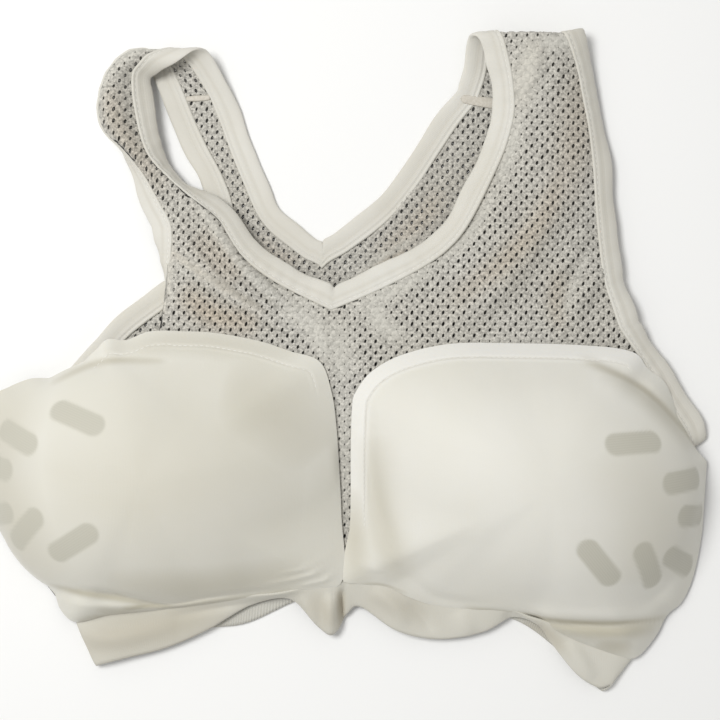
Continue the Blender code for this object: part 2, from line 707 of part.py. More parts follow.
def make_neck_binding(fronts, backs, parts, material):
    halves = []
    for side, turn in (("left", -1), ("right", 1)):
        front, curls = fronts[side]
        back = backs[side][1 : NECK_FOOT_ROW * BACK_SPAN_STEPS + 1]
        frames = seam_frames(np.concatenate([front[:, -2:], back[:, -2:]]), 1, 0, turn)
        flat = np.zeros(len(back))
        halves.append(np.column_stack([frames, np.concatenate([curls[:, 1], flat])]))
    left, right = halves
    frames = np.vstack([left, right[-2:0:-1]])
    for row in (0, len(left) - 1):
        frames[row, 3:9] = frames[row - 1, 3:9] + frames[(row + 1) % len(frames), 3:9]
    surface = loft([strip(frames)], closed_rows=True)
    sheet("neck_binding", surface, BINDING_WALL, 0.0, material, parts)


def make_arm_binding(side, fronts, backs, parts, material):
    front, curls = fronts[side]
    back = backs[side][1:]
    turn = 1 if side == "left" else -1
    frames = seam_frames(np.concatenate([front[:, :2], back[:, :2]]), 0, 1, turn)
    curl = np.concatenate([curls[:, 0], np.zeros(len(back))])
    shoulder = np.column_stack([frames, curl])
    frames = np.vstack([shoulder, underarm_frames(side)[::-1]])
    surface = loft([strip(frames)], closed_rows=True)
    sheet("arm_binding_" + side, surface, BINDING_WALL, 0.0, material, parts)


def make_underband(parts, material):
    rows = loop(BAND_STATIONS, SPAN_STEPS)
    seam, free = placed(rows[:, 0:3]), placed(rows[:, 3:6])
    grid = np.stack([seam, (seam + free) / 2, free], axis=1)
    grid[..., 2] = np.maximum(grid[..., 2], BAND_WALL / 2)
    sheet("underband", loft([grid], closed_rows=True), BAND_WALL, 0.0, material, parts)


def main():
    for thing in list(bpy.data.objects):
        bpy.data.objects.remove(thing)
    parts = bpy.data.collections.new("chest_guard")
    cutters = bpy.data.collections.new("cutters")
    bpy.context.scene.collection.children.link(parts)
    bpy.context.scene.collection.children.link(cutters)
    net = principled("eyelet_mesh", (0.62, 0.59, 0.50), 0.85)
    jersey = principled("cover_jersey", (0.75, 0.72, 0.65), 0.6)
    tape = principled("binding_jersey", (0.76, 0.73, 0.66), 0.65)
    elastic = principled("band_elastic", (0.72, 0.70, 0.63), 0.75)
    plastic = principled("cup_plastic", (0.55, 0.53, 0.46), 0.45)
    fronts = {side: front_surface(side) for side in ("left", "right")}
    backs = {side: back_surface(side) for side in ("left", "right")}
    make_front_mesh(fronts, parts, net)
    make_back_mesh(backs, parts, net)
    make_neck_binding(fronts, backs, parts, tape)
    for side in ("left", "right"):
        make_arm_binding(side, fronts, backs, parts, tape)
        make_cup(side, parts, cutters, plastic)
        make_cover(side, parts, jersey)
    make_underband(parts, elastic)


main()
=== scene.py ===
"""Looks of a karate chest guard for women, lying on its back: eyelet net, jersey covers over two
slotted cups, stretch tape round every opening and a waved underband."""

import math

import bmesh
import bpy
import numpy as np
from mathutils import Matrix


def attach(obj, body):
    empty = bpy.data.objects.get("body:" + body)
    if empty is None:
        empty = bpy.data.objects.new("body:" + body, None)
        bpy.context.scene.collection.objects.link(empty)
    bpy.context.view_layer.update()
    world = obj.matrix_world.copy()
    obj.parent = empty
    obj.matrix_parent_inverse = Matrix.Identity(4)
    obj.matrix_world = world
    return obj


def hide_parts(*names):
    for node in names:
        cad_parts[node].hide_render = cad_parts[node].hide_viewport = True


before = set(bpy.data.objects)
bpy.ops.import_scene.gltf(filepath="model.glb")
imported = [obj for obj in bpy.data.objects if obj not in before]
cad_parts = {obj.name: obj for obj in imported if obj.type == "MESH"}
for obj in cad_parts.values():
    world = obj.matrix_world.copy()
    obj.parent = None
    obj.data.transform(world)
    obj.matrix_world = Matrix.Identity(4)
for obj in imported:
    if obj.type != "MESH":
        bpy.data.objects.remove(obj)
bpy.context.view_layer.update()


# Back panel. One flat piece of white polyester net, knitted with staggered eyelets, that lies on
# the floor. It is cut to the back neckline, the armholes and the band, and its cut edges are
# caught inside the tape and the band.

WIDTH = 0.398
LENGTH = 0.366
RISE = 0.020
NET_WALL = 0.0010
NET_TUCK = 0.0016
FINE = 8
PANEL_COLUMNS = 33
BACK_BODY_ROWS = 60
UP = np.array([0.0, 0.0, 1.0])

# From the shoulder seam down to the underarm: arm_x, arm_y, neck_x, neck_y as shares, and lift
BACK_PANEL = {
    "left": (
        (-0.229, 0.397, -0.195, 0.399, 0.10),
        (-0.217, 0.364, -0.182, 0.364, 0.04),
        (-0.200, 0.324, -0.166, 0.316, 0.0),
        (-0.180, 0.283, -0.148, 0.268, 0.0),
        (-0.166, 0.241, -0.130, 0.223, 0.0),
        (-0.163, 0.199, -0.111, 0.196, 0.0),
        (-0.177, 0.154, -0.086, 0.174, 0.0),
        (-0.213, 0.113, -0.064, 0.156, 0.0),
        (-0.260, 0.079, -0.039, 0.139, 0.0),
        (-0.307, 0.040, -0.035, 0.091, 0.0),
        (-0.337, 0.004, -0.030, 0.038, 0.0),
        (-0.381, -0.047, -0.028, -0.014, 0.0),
        (-0.449, -0.074, -0.026, -0.059, 0.0),
        (-0.485, -0.095, -0.025, -0.104, 0.0),
    ),
    "right": (
        (0.293, 0.376, 0.177, 0.394, 0.08),
        (0.307, 0.316, 0.152, 0.361, 0.03),
        (0.318, 0.256, 0.124, 0.316, 0.0),
        (0.332, 0.196, 0.097, 0.271, 0.0),
        (0.343, 0.148, 0.069, 0.232, 0.0),
        (0.354, 0.103, 0.047, 0.208, 0.0),
        (0.369, 0.058, 0.023, 0.187, 0.0),
        (0.387, 0.016, -0.004, 0.166, 0.0),
        (0.405, -0.013, -0.039, 0.139, 0.0),
        (0.421, -0.035, -0.035, 0.091, 0.0),
        (0.431, -0.056, -0.030, 0.038, 0.0),
        (0.442, -0.079, -0.028, -0.014, 0.0),
        (0.453, -0.104, -0.026, -0.059, 0.0),
        (0.463, -0.142, -0.025, -0.104, 0.0),
    ),
}

# Side edge and lower edge, down to the middle of the band seam: x, y
BACK_PANEL_HEM = {
    "left": (
        (-0.497, -0.210),
        (-0.473, -0.277),
        (-0.431, -0.333),
        (-0.398, -0.375),
        (-0.368, -0.385),
        (-0.290, -0.360),
        (-0.207, -0.337),
        (-0.069, -0.300),
        (-0.017, -0.288),
    ),
    "right": (
        (0.484, -0.232),
        (0.470, -0.322),
        (0.439, -0.378),
        (0.397, -0.419),
        (0.366, -0.408),
        (0.332, -0.387),
        (0.235, -0.329),
        (0.124, -0.304),
        (-0.017, -0.288),
    ),
}
BACK_NECK_FOOT = 8

# Soft creases pressed into the back where it shows inside the neckline and the armhole:
# x and y of three points, half width and height in millimetres
BACK_CREASES = (
    (0.052, 0.352, -0.010, 0.262, -0.088, 0.206, 3.0, 2.6),
    (0.118, 0.300, 0.075, 0.240, 0.040, 0.190, 3.0, 1.6),
    (-0.235, 0.096, -0.265, 0.060, -0.285, 0.028, 2.5, 1.4),
)


def spline(rows, steps):
    """Rows along a smooth curve through these, steps to each span."""
    rows = np.asarray(rows, float)
    ends = np.vstack([2 * rows[0] - rows[1], rows, 2 * rows[-1] - rows[-2]])
    return np.vstack([spans(ends, steps), rows[-1:]])


def loop(rows, steps):
    """The same for a closed curve, whose last span leads back to its first row."""
    rows = np.asarray(rows, float)
    return spans(np.vstack([rows[-1:], rows, rows[:2]]), steps)


def spans(rows, steps):
    """Steps along a cubic between the middle two of every four rows."""
    t = np.linspace(0.0, 1.0, steps, endpoint=False)[:, None]
    pieces = []
    for a, b, c, d in zip(rows, rows[1:], rows[2:], rows[3:]):
        cubic = (2 * a - 5 * b + 4 * c - d) + t * (3 * (b - c) + d - a)
        pieces.append(b + 0.5 * t * ((c - a) + t * cubic))
    return np.vstack(pieces)


def even(rows, count):
    """The rows read again at equal distances, measured over their first three columns."""
    lengths = np.linalg.norm(np.diff(rows[:, :3], axis=0), axis=1)
    run = np.concatenate([[0.0], np.cumsum(lengths)])
    marks = np.linspace(0.0, run[-1], count)
    return np.column_stack([np.interp(marks, run, column) for column in rows.T])


def unit(vectors):
    """The same directions, each one long."""
    return vectors / np.maximum(np.linalg.norm(vectors, axis=-1, keepdims=True), 1e-12)


def placed(rows):
    """Rows of x, y and z shares as points."""
    return np.asarray(rows, float)[:, :3] * (WIDTH, LENGTH, RISE)


def section(arm, neck, arm_arch=0.0, neck_arch=0.0):
    """Points across a shoulder piece, evenly spaced along a cubic from seam to seam."""
    third = (neck - arm) / 3
    handles = (arm, arm + third + UP * arm_arch, neck - third + UP * neck_arch, neck)
    t = np.linspace(0.0, 1.0, 3 * PANEL_COLUMNS)[:, None]
    weights = ((1 - t) ** 3, 3 * t * (1 - t) ** 2, 3 * t**2 * (1 - t), t**3)
    return even(sum(w * h for w, h in zip(weights, handles)), PANEL_COLUMNS)


def ruled(lower, upper, steps):
    """Grid between two rows of points, without the upper one."""
    shares = np.linspace(0.0, 1.0, steps, endpoint=False)[:, None, None]
    return lower * (1 - shares) + upper * shares


def soft_line(row, steps):
    """A curve through three places in plan, its half width in metres, and its height or strength."""
    places = np.reshape(row[:6], (3, 2)) * (WIDTH, LENGTH)
    return spline(places, steps), row[6] / 1000, row[7]


def touch(spots, line, half, blunt):
    """How strongly a soft line touches each spot: fully along it, fading aside and at its ends."""
    apart = np.linalg.norm(spots[:, None] - line[None], axis=2)
    taper = np.sin(math.pi * (apart.argmin(axis=1) + 0.5) / len(line)) ** blunt
    return taper * np.exp(-((apart.min(axis=1) / half) ** 2))


def creased(points, creases):
    """Raises points along soft creases, by each one's height in millimetres."""
    points = np.array(points, float)
    flat = points.reshape(-1, 3)
    for crease in creases:
        line, half, high_mm = soft_line(crease, 30)
        flat[:, 2] += high_mm / 1000 * touch(flat[:, :2], line, half, 0.7)
    return points


def near_lines(points, lines):
    """How strongly each point is touched by the strongest of these soft lines."""
    spots = np.asarray(points).reshape(-1, 3)[:, :2]
    near = np.zeros(len(spots))
    for row in lines:
        line, half, strength = soft_line(row, 60)
        reach = 2.2 * half
        box = (spots > line.min(axis=0) - reach) & (spots < line.max(axis=0) + reach)
        close = np.flatnonzero(box.all(axis=1))
        near[close] = np.maximum(near[close], strength * touch(spots[close], line, half, 0.4))
    return near


def grid_normals(grid):
    """Unit normals at every point of a grid."""
    return unit(np.cross(np.gradient(grid, axis=1), np.gradient(grid, axis=0)))


def widened(grid, first, last):
    """The grid with one more column beyond its first and last ones, by these distances."""
    columns = [grid[:, :1] + unit(grid[:, :1] - grid[:, 1:2]) * first] if first else []
    columns.append(grid)
    if last:
        columns.append(grid[:, -1:] + unit(grid[:, -1:] - grid[:, -2:-1]) * last)
    return np.concatenate(columns, axis=1)


def put_in(name, data):
    """A new object in the scene, at the origin."""
    piece = bpy.data.objects.new(name, data)
    bpy.context.scene.collection.objects.link(piece)
    return piece


def quads(rows, columns, closed_rows=False, closed_columns=True, start=0):
    """Faces between neighbouring points of a grid; a closed way round joins its last to its first."""
    faces = []
    for i in range(rows if closed_rows else rows - 1):
        for j in range(columns if closed_columns else columns - 1):
            k, m = (i + 1) % rows, (j + 1) % columns
            corners = ((i, j), (i, m), (k, m), (k, j))
            faces.append([start + row * columns + column for row, column in corners])
    return faces


def pattern_piece(name, patches):
    """A net piece laid flat as it was cut, which remembers where each point goes on the guard."""
    flat, places, facings, faces = [], [], [], []
    for cut, grid, normals in patches:
        faces.extend(quads(*grid.shape[:2], closed_columns=False, start=len(flat)))
        flat.extend((*p, 0.0) for p in cut.reshape(-1, 2))
        places.extend(grid.reshape(-1, 3))
        facings.extend(normals.reshape(-1, 3))
    mesh = bpy.data.meshes.new(name)
    mesh.from_pydata(flat, [], faces)
    for attribute, values in (("place", places), ("facing", facings)):
        data = mesh.attributes.new(attribute, "FLOAT_VECTOR", "POINT").data
        data.foreach_set("vector", np.asarray(values, np.float32).ravel())
    return put_in(name, mesh)


def back_half(side):
    """One side of the back from the shoulder seam down, as rows from armhole to neckline."""
    rows = spline(BACK_PANEL[side], FINE)
    heights = NET_WALL / 2 + np.maximum(rows[:, 4], 0.0) * RISE
    arms = np.column_stack([rows[:, 0] * WIDTH, rows[:, 1] * LENGTH, heights])
    necks = np.column_stack([rows[:, 2] * WIDTH, rows[:, 3] * LENGTH, heights])
    return np.array([section(*ends) for ends in zip(arms, necks)])


def back_patches():
    """The back in four parts: each side's strap, and its body below the neckline."""
    patches = []
    halves = {side: back_half(side) for side in ("left", "right")}
    foot = BACK_NECK_FOOT * FINE
    middle = (halves["left"][foot:, -1] + halves["right"][foot:, -1]) / 2
    for side, upper in halves.items():
        upper[foot:, -1] = middle
        hem = np.column_stack([BACK_PANEL_HEM[side], np.zeros(len(BACK_PANEL_HEM[side]))])
        hem = even(spline(placed(hem), FINE), PANEL_COLUMNS) + UP * NET_WALL / 2
        grid = np.vstack([upper, ruled(hem, upper[-1], BACK_BODY_ROWS)[::-1]])
        strap = widened(grid[: foot + 1], NET_TUCK, NET_TUCK)
        body = widened(grid[foot:], NET_TUCK, 0)
        for part in (strap, body):
            part = creased(part, BACK_CREASES)
            normals = grid_normals(part)
            normals *= np.sign(normals[..., 2:3] + 1e-9)
            patches.append((part[..., :2], part, normals))
    return patches


def eyelet(width, height, pitch, row, wall, lean):
    """One knitted hole in its own brick of net, drawn in at half its depth by the crossing loops."""
    half, low = pitch / 2, row / 2
    edge = [(half, low), (0, low), (-half, low), (-half, -low), (0, -low), (half, -low)]
    levels = ((None, 0.50), (1.05, 0.34), (0.45, 0.0), (1.05, -0.34), (None, -0.50))
    rings = []
    for scale, level in levels:
        for i, (x, y) in enumerate(edge):
            if scale:
                turn = (2 * i + 1) * math.pi / 6
                x = math.cos(turn) * width / 2 * scale
                y = math.sin(turn) * height / 2 * scale
                x += y * lean
            rings.append((x, y, wall * level))
    mesh = bpy.data.meshes.new("eyelet")
    mesh.from_pydata(rings, [], quads(len(levels), len(edge)))
    return bpy.data.objects.new("eyelet", mesh)


EYELET_WIDTH = 0.00178
EYELET_HEIGHT = 0.0029
EYELET_PITCH = 0.0057
EYELET_ROW = 0.00315
EYELET_LEAN = 0.22
net_eyelet = eyelet(EYELET_WIDTH, EYELET_HEIGHT, EYELET_PITCH, EYELET_ROW, NET_WALL, EYELET_LEAN)


class Tree:
    """Short words for building a node tree."""

    def __init__(self, tree):
        self.tree = tree

    def add(self, kind, values=(), **settings):
        """A node with its settings, its inputs linked or filled."""
        node = self.tree.nodes.new(kind)
        for key, value in settings.items():
            setattr(node, key, value)
        for key, value in dict(values).items():
            if hasattr(value, "is_output"):
                self.tree.links.new(value, node.inputs[key])
            else:
                node.inputs[key].default_value = value
        return node

    def maths(self, operation, a, b=0.0):
        return self.add("ShaderNodeMath", {0: a, 1: b}, operation=operation).outputs[0]

    def times(self, a, b):
        return self.maths("MULTIPLY", a, b)

    def plus(self, a, b):
        return self.maths("ADD", a, b)

    def step(self, kind, geometry, values=(), **settings):
        """What a geometry node makes of this geometry."""
        return self.add("GeometryNode" + kind, {0: geometry, **dict(values)}, **settings).outputs[0]

    def stored(self, geometry, name, value, data_type="FLOAT"):
        """The geometry with a value kept on its points under this name."""
        values = {"Name": name, "Value": value}
        return self.step("StoreNamedAttribute", geometry, values, data_type=data_type, domain="POINT")

    def captured(self, geometry, kind, name, value):
        """The geometry, and the value as it is on its points at this stage."""
        node = self.add("GeometryNodeCaptureAttribute", {0: geometry}, domain="POINT")
        node.capture_items.new(kind, name)
        self.tree.links.new(value, node.inputs[name])
        return node.outputs[0], node.outputs[name]

    def end(self, geometry, material):
        """Shades the geometry smooth, gives it its material and hands it out."""
        smooth = self.step("SetShadeSmooth", geometry)
        dyed = self.step("SetMaterial", smooth, {"Material": material})
        self.tree.links.new(dyed, self.tree.nodes.new("NodeGroupOutput").inputs[0])

    def spot(self):
        return self.add("ShaderNodeTexCoord").outputs["Object"]

    def read(self, name, output="Fac"):
        return self.add("ShaderNodeAttribute", attribute_name=name).outputs[output]

    def noise(self, vector, scale, detail):
        values = {"Vector": vector, "Scale": scale, "Detail": detail}
        return self.add("ShaderNodeTexNoise", values).outputs["Fac"]

    def mix(self, share, first, second, blend_type="MIX"):
        """The first colour with a share of the second mixed in."""
        values = {"Factor": share, "A": first, "B": second}
        node = self.add("ShaderNodeMix", values, data_type="RGBA", blend_type=blend_type)
        return node.outputs["Result"]

    def ranged(self, value, start, end, low, high):
        """The value's range from start to end, spread from low to high."""
        values = {"Value": value, "From Min": start, "From Max": end, "To Min": low, "To Max": high}
        return self.add("ShaderNodeMapRange", values).outputs[0]

    def surface(self, cloth, tone, height, strength, distance):
        """Gives a shader its colour, and its weave or grain in relief."""
        if tone:
            self.tree.links.new(tone, cloth.inputs["Base Color"])
        values = {"Height": height, "Strength": strength, "Distance": distance}
        self.tree.links.new(self.add("ShaderNodeBump", values).outputs[0], cloth.inputs["Normal"])


def new_tree(name, wants):
    """A geometry tree that takes a piece and these named inputs, with its inputs' identifiers."""
    tree = bpy.data.node_groups.new(name, "GeometryNodeTree")
    keys = {}
    for want, kind in {"Piece": "Geometry", **wants}.items():
        socket = tree.interface.new_socket(want, in_out="INPUT", socket_type="NodeSocket" + kind)
        keys[want] = socket.identifier
    tree.interface.new_socket("Made", in_out="OUTPUT", socket_type="NodeSocketGeometry")
    return Tree(tree), tree.nodes.new("NodeGroupInput").outputs, keys


def net_tree():
    """Knits eyelets over a flat pattern piece and carries them to their places on the guard."""
    sizes = dict.fromkeys(("Pitch", "Row", "Width", "Length", "Middle X", "Middle Y"), "Float")
    t, given, keys = new_tree("knit_net", {**sizes, "Eyelet": "Object", "Yarn": "Material"})
    here = t.add("GeometryNodeInputPosition").outputs[0]
    place = t.add("ShaderNodeSeparateXYZ", {0: here}).outputs
    across = t.maths("FLOOR", t.maths("DIVIDE", given["Width"], given["Pitch"]))
    along = t.maths("FLOOR", t.maths("DIVIDE", given["Length"], given["Row"]))
    wide = t.times(t.maths("SUBTRACT", across, 1.0), given["Pitch"])
    long = t.times(t.maths("SUBTRACT", along, 1.0), given["Row"])
    size = {"Size X": wide, "Size Y": long, "Vertices X": across, "Vertices Y": along}
    points = t.add("GeometryNodeMeshGrid", size).outputs["Mesh"]
    row = t.maths("ROUND", t.plus(t.maths("DIVIDE", place["Y"], given["Row"]), 0.25))
    half = t.times(t.maths("PINGPONG", row, 1.0), t.maths("DIVIDE", given["Pitch"], 2.0))
    moved = {"X": t.plus(half, given["Middle X"]), "Y": given["Middle Y"]}
    shift = t.add("ShaderNodeCombineXYZ", moved).outputs[0]
    bricks = t.step("SetPosition", points, {"Offset": shift})
    counted = t.stored(bricks, "brick", t.add("GeometryNodeInputIndex").outputs[0])
    hole = t.add("GeometryNodeObjectInfo", {"Object": given["Eyelet"]}).outputs["Geometry"]
    copies = t.step("InstanceOnPoints", counted, {"Instance": hole})
    knitted = t.step("RealizeInstances", copies)
    joined = t.step("MergeByDistance", knitted, {"Distance": 0.00002})
    joined, depth = t.captured(joined, "FLOAT", "Depth", place["Z"])
    level = t.add("ShaderNodeCombineXYZ", {"X": place["X"], "Y": place["Y"]}).outputs[0]
    flat = t.step("SetPosition", joined, {"Position": level})
    near = t.add("GeometryNodeProximity", {0: given["Piece"]}, target_element="FACES")
    gap = {0: near.outputs["Distance"], 1: 0.00001}
    far = t.add("FunctionNodeCompare", gap, operation="GREATER_THAN").outputs[0]
    flat, beyond = t.captured(flat, "BOOLEAN", "Beyond", far)
    cut = t.step("DeleteGeometry", flat, {"Selection": beyond}, domain="FACE")
    reads = []
    for name in ("place", "facing"):
        named = t.add("GeometryNodeInputNamedAttribute", {"Name": name}, data_type="FLOAT_VECTOR")
        values = {"Mesh": given["Piece"], "Value": named.outputs[0]}
        read = t.add("GeometryNodeSampleNearestSurface", values, data_type="FLOAT_VECTOR")
        reads.append(read.outputs["Value"])
    inside = t.maths("SUBTRACT", 1.0, beyond)
    raised = {0: reads[1], "Scale": t.times(depth, inside)}
    lift = t.add("ShaderNodeVectorMath", raised, operation="SCALE").outputs[0]
    goal = t.add("ShaderNodeVectorMath", {0: reads[0], 1: lift}, operation="ADD").outputs[0]
    cut = t.stored(cut, "laid", here, "FLOAT_VECTOR")
    cut = t.stored(cut, "level", depth)
    cut = t.stored(cut, "inside", inside)
    sewn = t.step("SetPosition", cut, {"Position": goal})
    t.end(t.step("MergeByDistance", sewn, {"Distance": 0.00002}), given["Yarn"])
    return t.tree, keys


def made_plain(rough, name):
    """The modifiers' result as a plain mesh object that rides on the guard."""
    bpy.context.view_layer.update()
    result = rough.evaluated_get(bpy.context.evaluated_depsgraph_get())
    mesh = bpy.data.meshes.new_from_object(result)
    mesh.name = name
    bpy.data.objects.remove(rough)
    made = put_in(name, mesh)
    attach(made, "root")
    return made


def shader(name, colour, roughness, sheen=0.0, subsurface=0.0):
    """A material with its Principled shader, ready for the cloth's own nodes."""
    material = bpy.data.materials.new(name)
    material.use_nodes = True
    t = Tree(material.node_tree)
    cloth = material.node_tree.nodes["Principled BSDF"]
    cloth.inputs["Base Color"].default_value = (*colour, 1.0)
    cloth.inputs["Roughness"].default_value = roughness
    cloth.inputs["Sheen Weight"].default_value = sheen
    cloth.inputs["Sheen Roughness"].default_value = 0.4
    cloth.inputs["Specular IOR Level"].default_value = 0.25
    cloth.inputs["Subsurface Weight"].default_value = subsurface
    cloth.inputs["Subsurface Radius"].default_value = (1.0, 0.9, 0.75)
    cloth.inputs["Subsurface Scale"].default_value = 0.002
    return material, t, cloth


def net_yarn():
    """Off-white polyester yarn: pitted between its loops, with painted shade in the pits and inside the
    eyelets, and tan strips that are partly painted shade along folds.
    """
    material, t, cloth = shader("net_yarn", (0.60, 0.575, 0.51), 0.8, sheen=0.1)
    laid = t.read("laid", "Vector")
    closed = t.read("closed")
    stitches = {"Vector": laid, "Scale": 1050.0, "Randomness": 0.8}
    loops = t.add("ShaderNodeTexVoronoi", stitches).outputs["Distance"]
    fine = t.noise(laid, 620.0, 3.0)
    tone = t.mix(t.noise(laid, 16.0, 2.0), (0.575, 0.545, 0.47, 1), (0.65, 0.635, 0.59, 1))
    grain = t.ranged(fine, 0.36, 0.60, 0.62, 1.08)
    # Painted shade: the yarn is darker in the pits between its loops, where its bump is low
    pit = t.ranged(loops, 0.25, 0.75, 1.04, 0.72)
    tone = t.mix(1.0, tone, t.times(grain, pit), "MULTIPLY")
    # Tan tone, partly painted shade along the folds of the net
    tone = t.mix(t.read("tan_and_shade"), tone, (0.86, 0.76, 0.65, 1), "MULTIPLY")
    tone = t.mix(t.times(closed, 0.6), tone, (0.66, 0.645, 0.58, 1))
    # Painted shade: near-black inside the eyelets, less where a strip draws them closed
    inside = t.ranged(t.maths("ABSOLUTE", t.read("level")), 0.00024, 0.00032, 1.0, 0.0)
    shown = t.times(inside, t.maths("SUBTRACT", 1.0, t.times(closed, 0.85)))
    tone = t.mix(shown, tone, (0.022, 0.021, 0.018, 1))
    t.surface(cloth, tone, t.maths("SUBTRACT", fine, t.times(loops, 0.7)), 0.6, 0.0004)
    return material


yarn = net_yarn()
knit_net, knit_sockets = net_tree()


def read_values(mesh, name):
    """What is kept under this name on the mesh's points."""
    values = np.empty(len(mesh.vertices), np.float32)
    mesh.attributes[name].data.foreach_get("value", values)
    return values


def write_values(mesh, values):
    """Keeps each named row of values on the mesh's points."""
    for name, readings in dict(values).items():
        data = mesh.attributes.new(name, "FLOAT", "POINT").data
        data.foreach_set("value", np.asarray(readings, np.float32).ravel())


# How far an eyelet is drawn in: at most where a strip closes it, and at most by chance
CLOSED_PULL = 0.9
CHANCE_PULL = 0.28


def draw_in(net, closed, tan_and_shade):
    """Draws the eyelets in along the net's folds and seams, and all a little by chance, each about
    the middle of its own ring. The closed strips, and the tan strips that are partly painted shade
    along folds, are kept for the yarn's tones."""
    spots = np.empty(3 * len(net.data.vertices), np.float32)
    net.data.vertices.foreach_get("co", spots)
    spots = spots.reshape(-1, 3)
    brick = read_values(net.data, "brick").astype(int)
    level = read_values(net.data, "level")
    chance = np.random.default_rng(7).random(brick.max() + 1)[brick]
    shut = near_lines(spots, closed)
    # Points on the panel's cut edge belong to no whole eyelet and stay where they are
    whole = read_values(net.data, "inside") > 0.999
    rim = np.flatnonzero((np.abs(level) < 0.4 * NET_WALL) & whole)
    ring = 3 * brick[rim] + np.sign(level[rim].round(6)).astype(int) + 1
    count = np.maximum(np.bincount(ring), 1)
    middle = np.stack([np.bincount(ring, weights=spots[rim, k]) / count for k in range(3)], axis=-1)
    pull = CLOSED_PULL * shut[rim] + CHANCE_PULL * chance[rim]
    pull = np.clip(pull, 0.0, CLOSED_PULL)[:, None]
    spots[rim] += pull * (middle[ring] - spots[rim])
    net.data.vertices.foreach_set("co", spots.ravel())
    write_values(net.data, {"closed": shut, "tan_and_shade": near_lines(spots, tan_and_shade)})


def knitted(name, patches, node, rests_on, closed=(), tan_and_shade=(), tongue=0.0):
    """Knits one panel of net from its pattern pieces, in place of its CAD node. Its tongue argument
    is not used."""
    rough = pattern_piece(name, patches)
    cuts = np.vstack([cut.reshape(-1, 2) for cut, _, _ in patches])
    low, high = cuts.min(axis=0), cuts.max(axis=0)
    wide, long = (float(size) for size in high - low)
    margin = 4 * EYELET_PITCH
    knit = rough.modifiers.new("knit", "NODES")
    knit.node_group = knit_net
    values = {
        "Pitch": EYELET_PITCH,
        "Row": EYELET_ROW,
        "Width": wide + margin,
        "Length": long + margin,
        "Middle X": float(high[0] + low[0]) / 2,
        "Middle Y": float(high[1] + low[1]) / 2,
        "Eyelet": net_eyelet,
        "Yarn": yarn,
    }
    for key, value in values.items():
        knit[knit_sockets[key]] = value
    net = made_plain(rough, name)
    draw_in(net, closed, tan_and_shade)
    hem = bmesh.new()
    hem.from_mesh(net.data)
    bmesh.ops.dissolve_degenerate(hem, dist=0.00003, edges=hem.edges)
    bmesh.ops.delete(hem, geom=[e for e in hem.edges if not e.link_faces], context="EDGES")
    bmesh.ops.holes_fill(hem, edges=[e for e in hem.edges if e.is_boundary], sides=0)
    hem.to_mesh(net.data)
    hem.free()
    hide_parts(node)
    return net


# Tan strips, partly the net's own tone and partly painted shade along folds, and strips where a seam
# closes the eyelets from behind: x and y of three points as shares, half width in millimetres and
# strength
BACK_TAN_AND_SHADE = (
    (0.130, 0.262, 0.092, 0.205, 0.042, 0.160, 7.0, 0.45),
    (-0.130, 0.190, -0.100, 0.160, -0.070, 0.150, 5.0, 0.35),
    (0.012, 0.118, 0.055, 0.150, 0.090, 0.165, 3.0, 0.8),
)
BACK_CLOSED = (
    (-0.205, 0.440, -0.190, 0.400, -0.160, 0.340, 3.0, 0.5),
    (0.000, 0.125, 0.050, 0.160, 0.100, 0.195, 1.6, 0.9),
)
back_net = knitted("back_net", back_patches(), "back_mesh", ["floor"], BACK_CLOSED, BACK_TAN_AND_SHADE)


# Front panel. The same net, from the V between the cups up over both shoulders to the shoulder
# seams behind. The left strap is folded over to the side, and the panel sags between its seams.

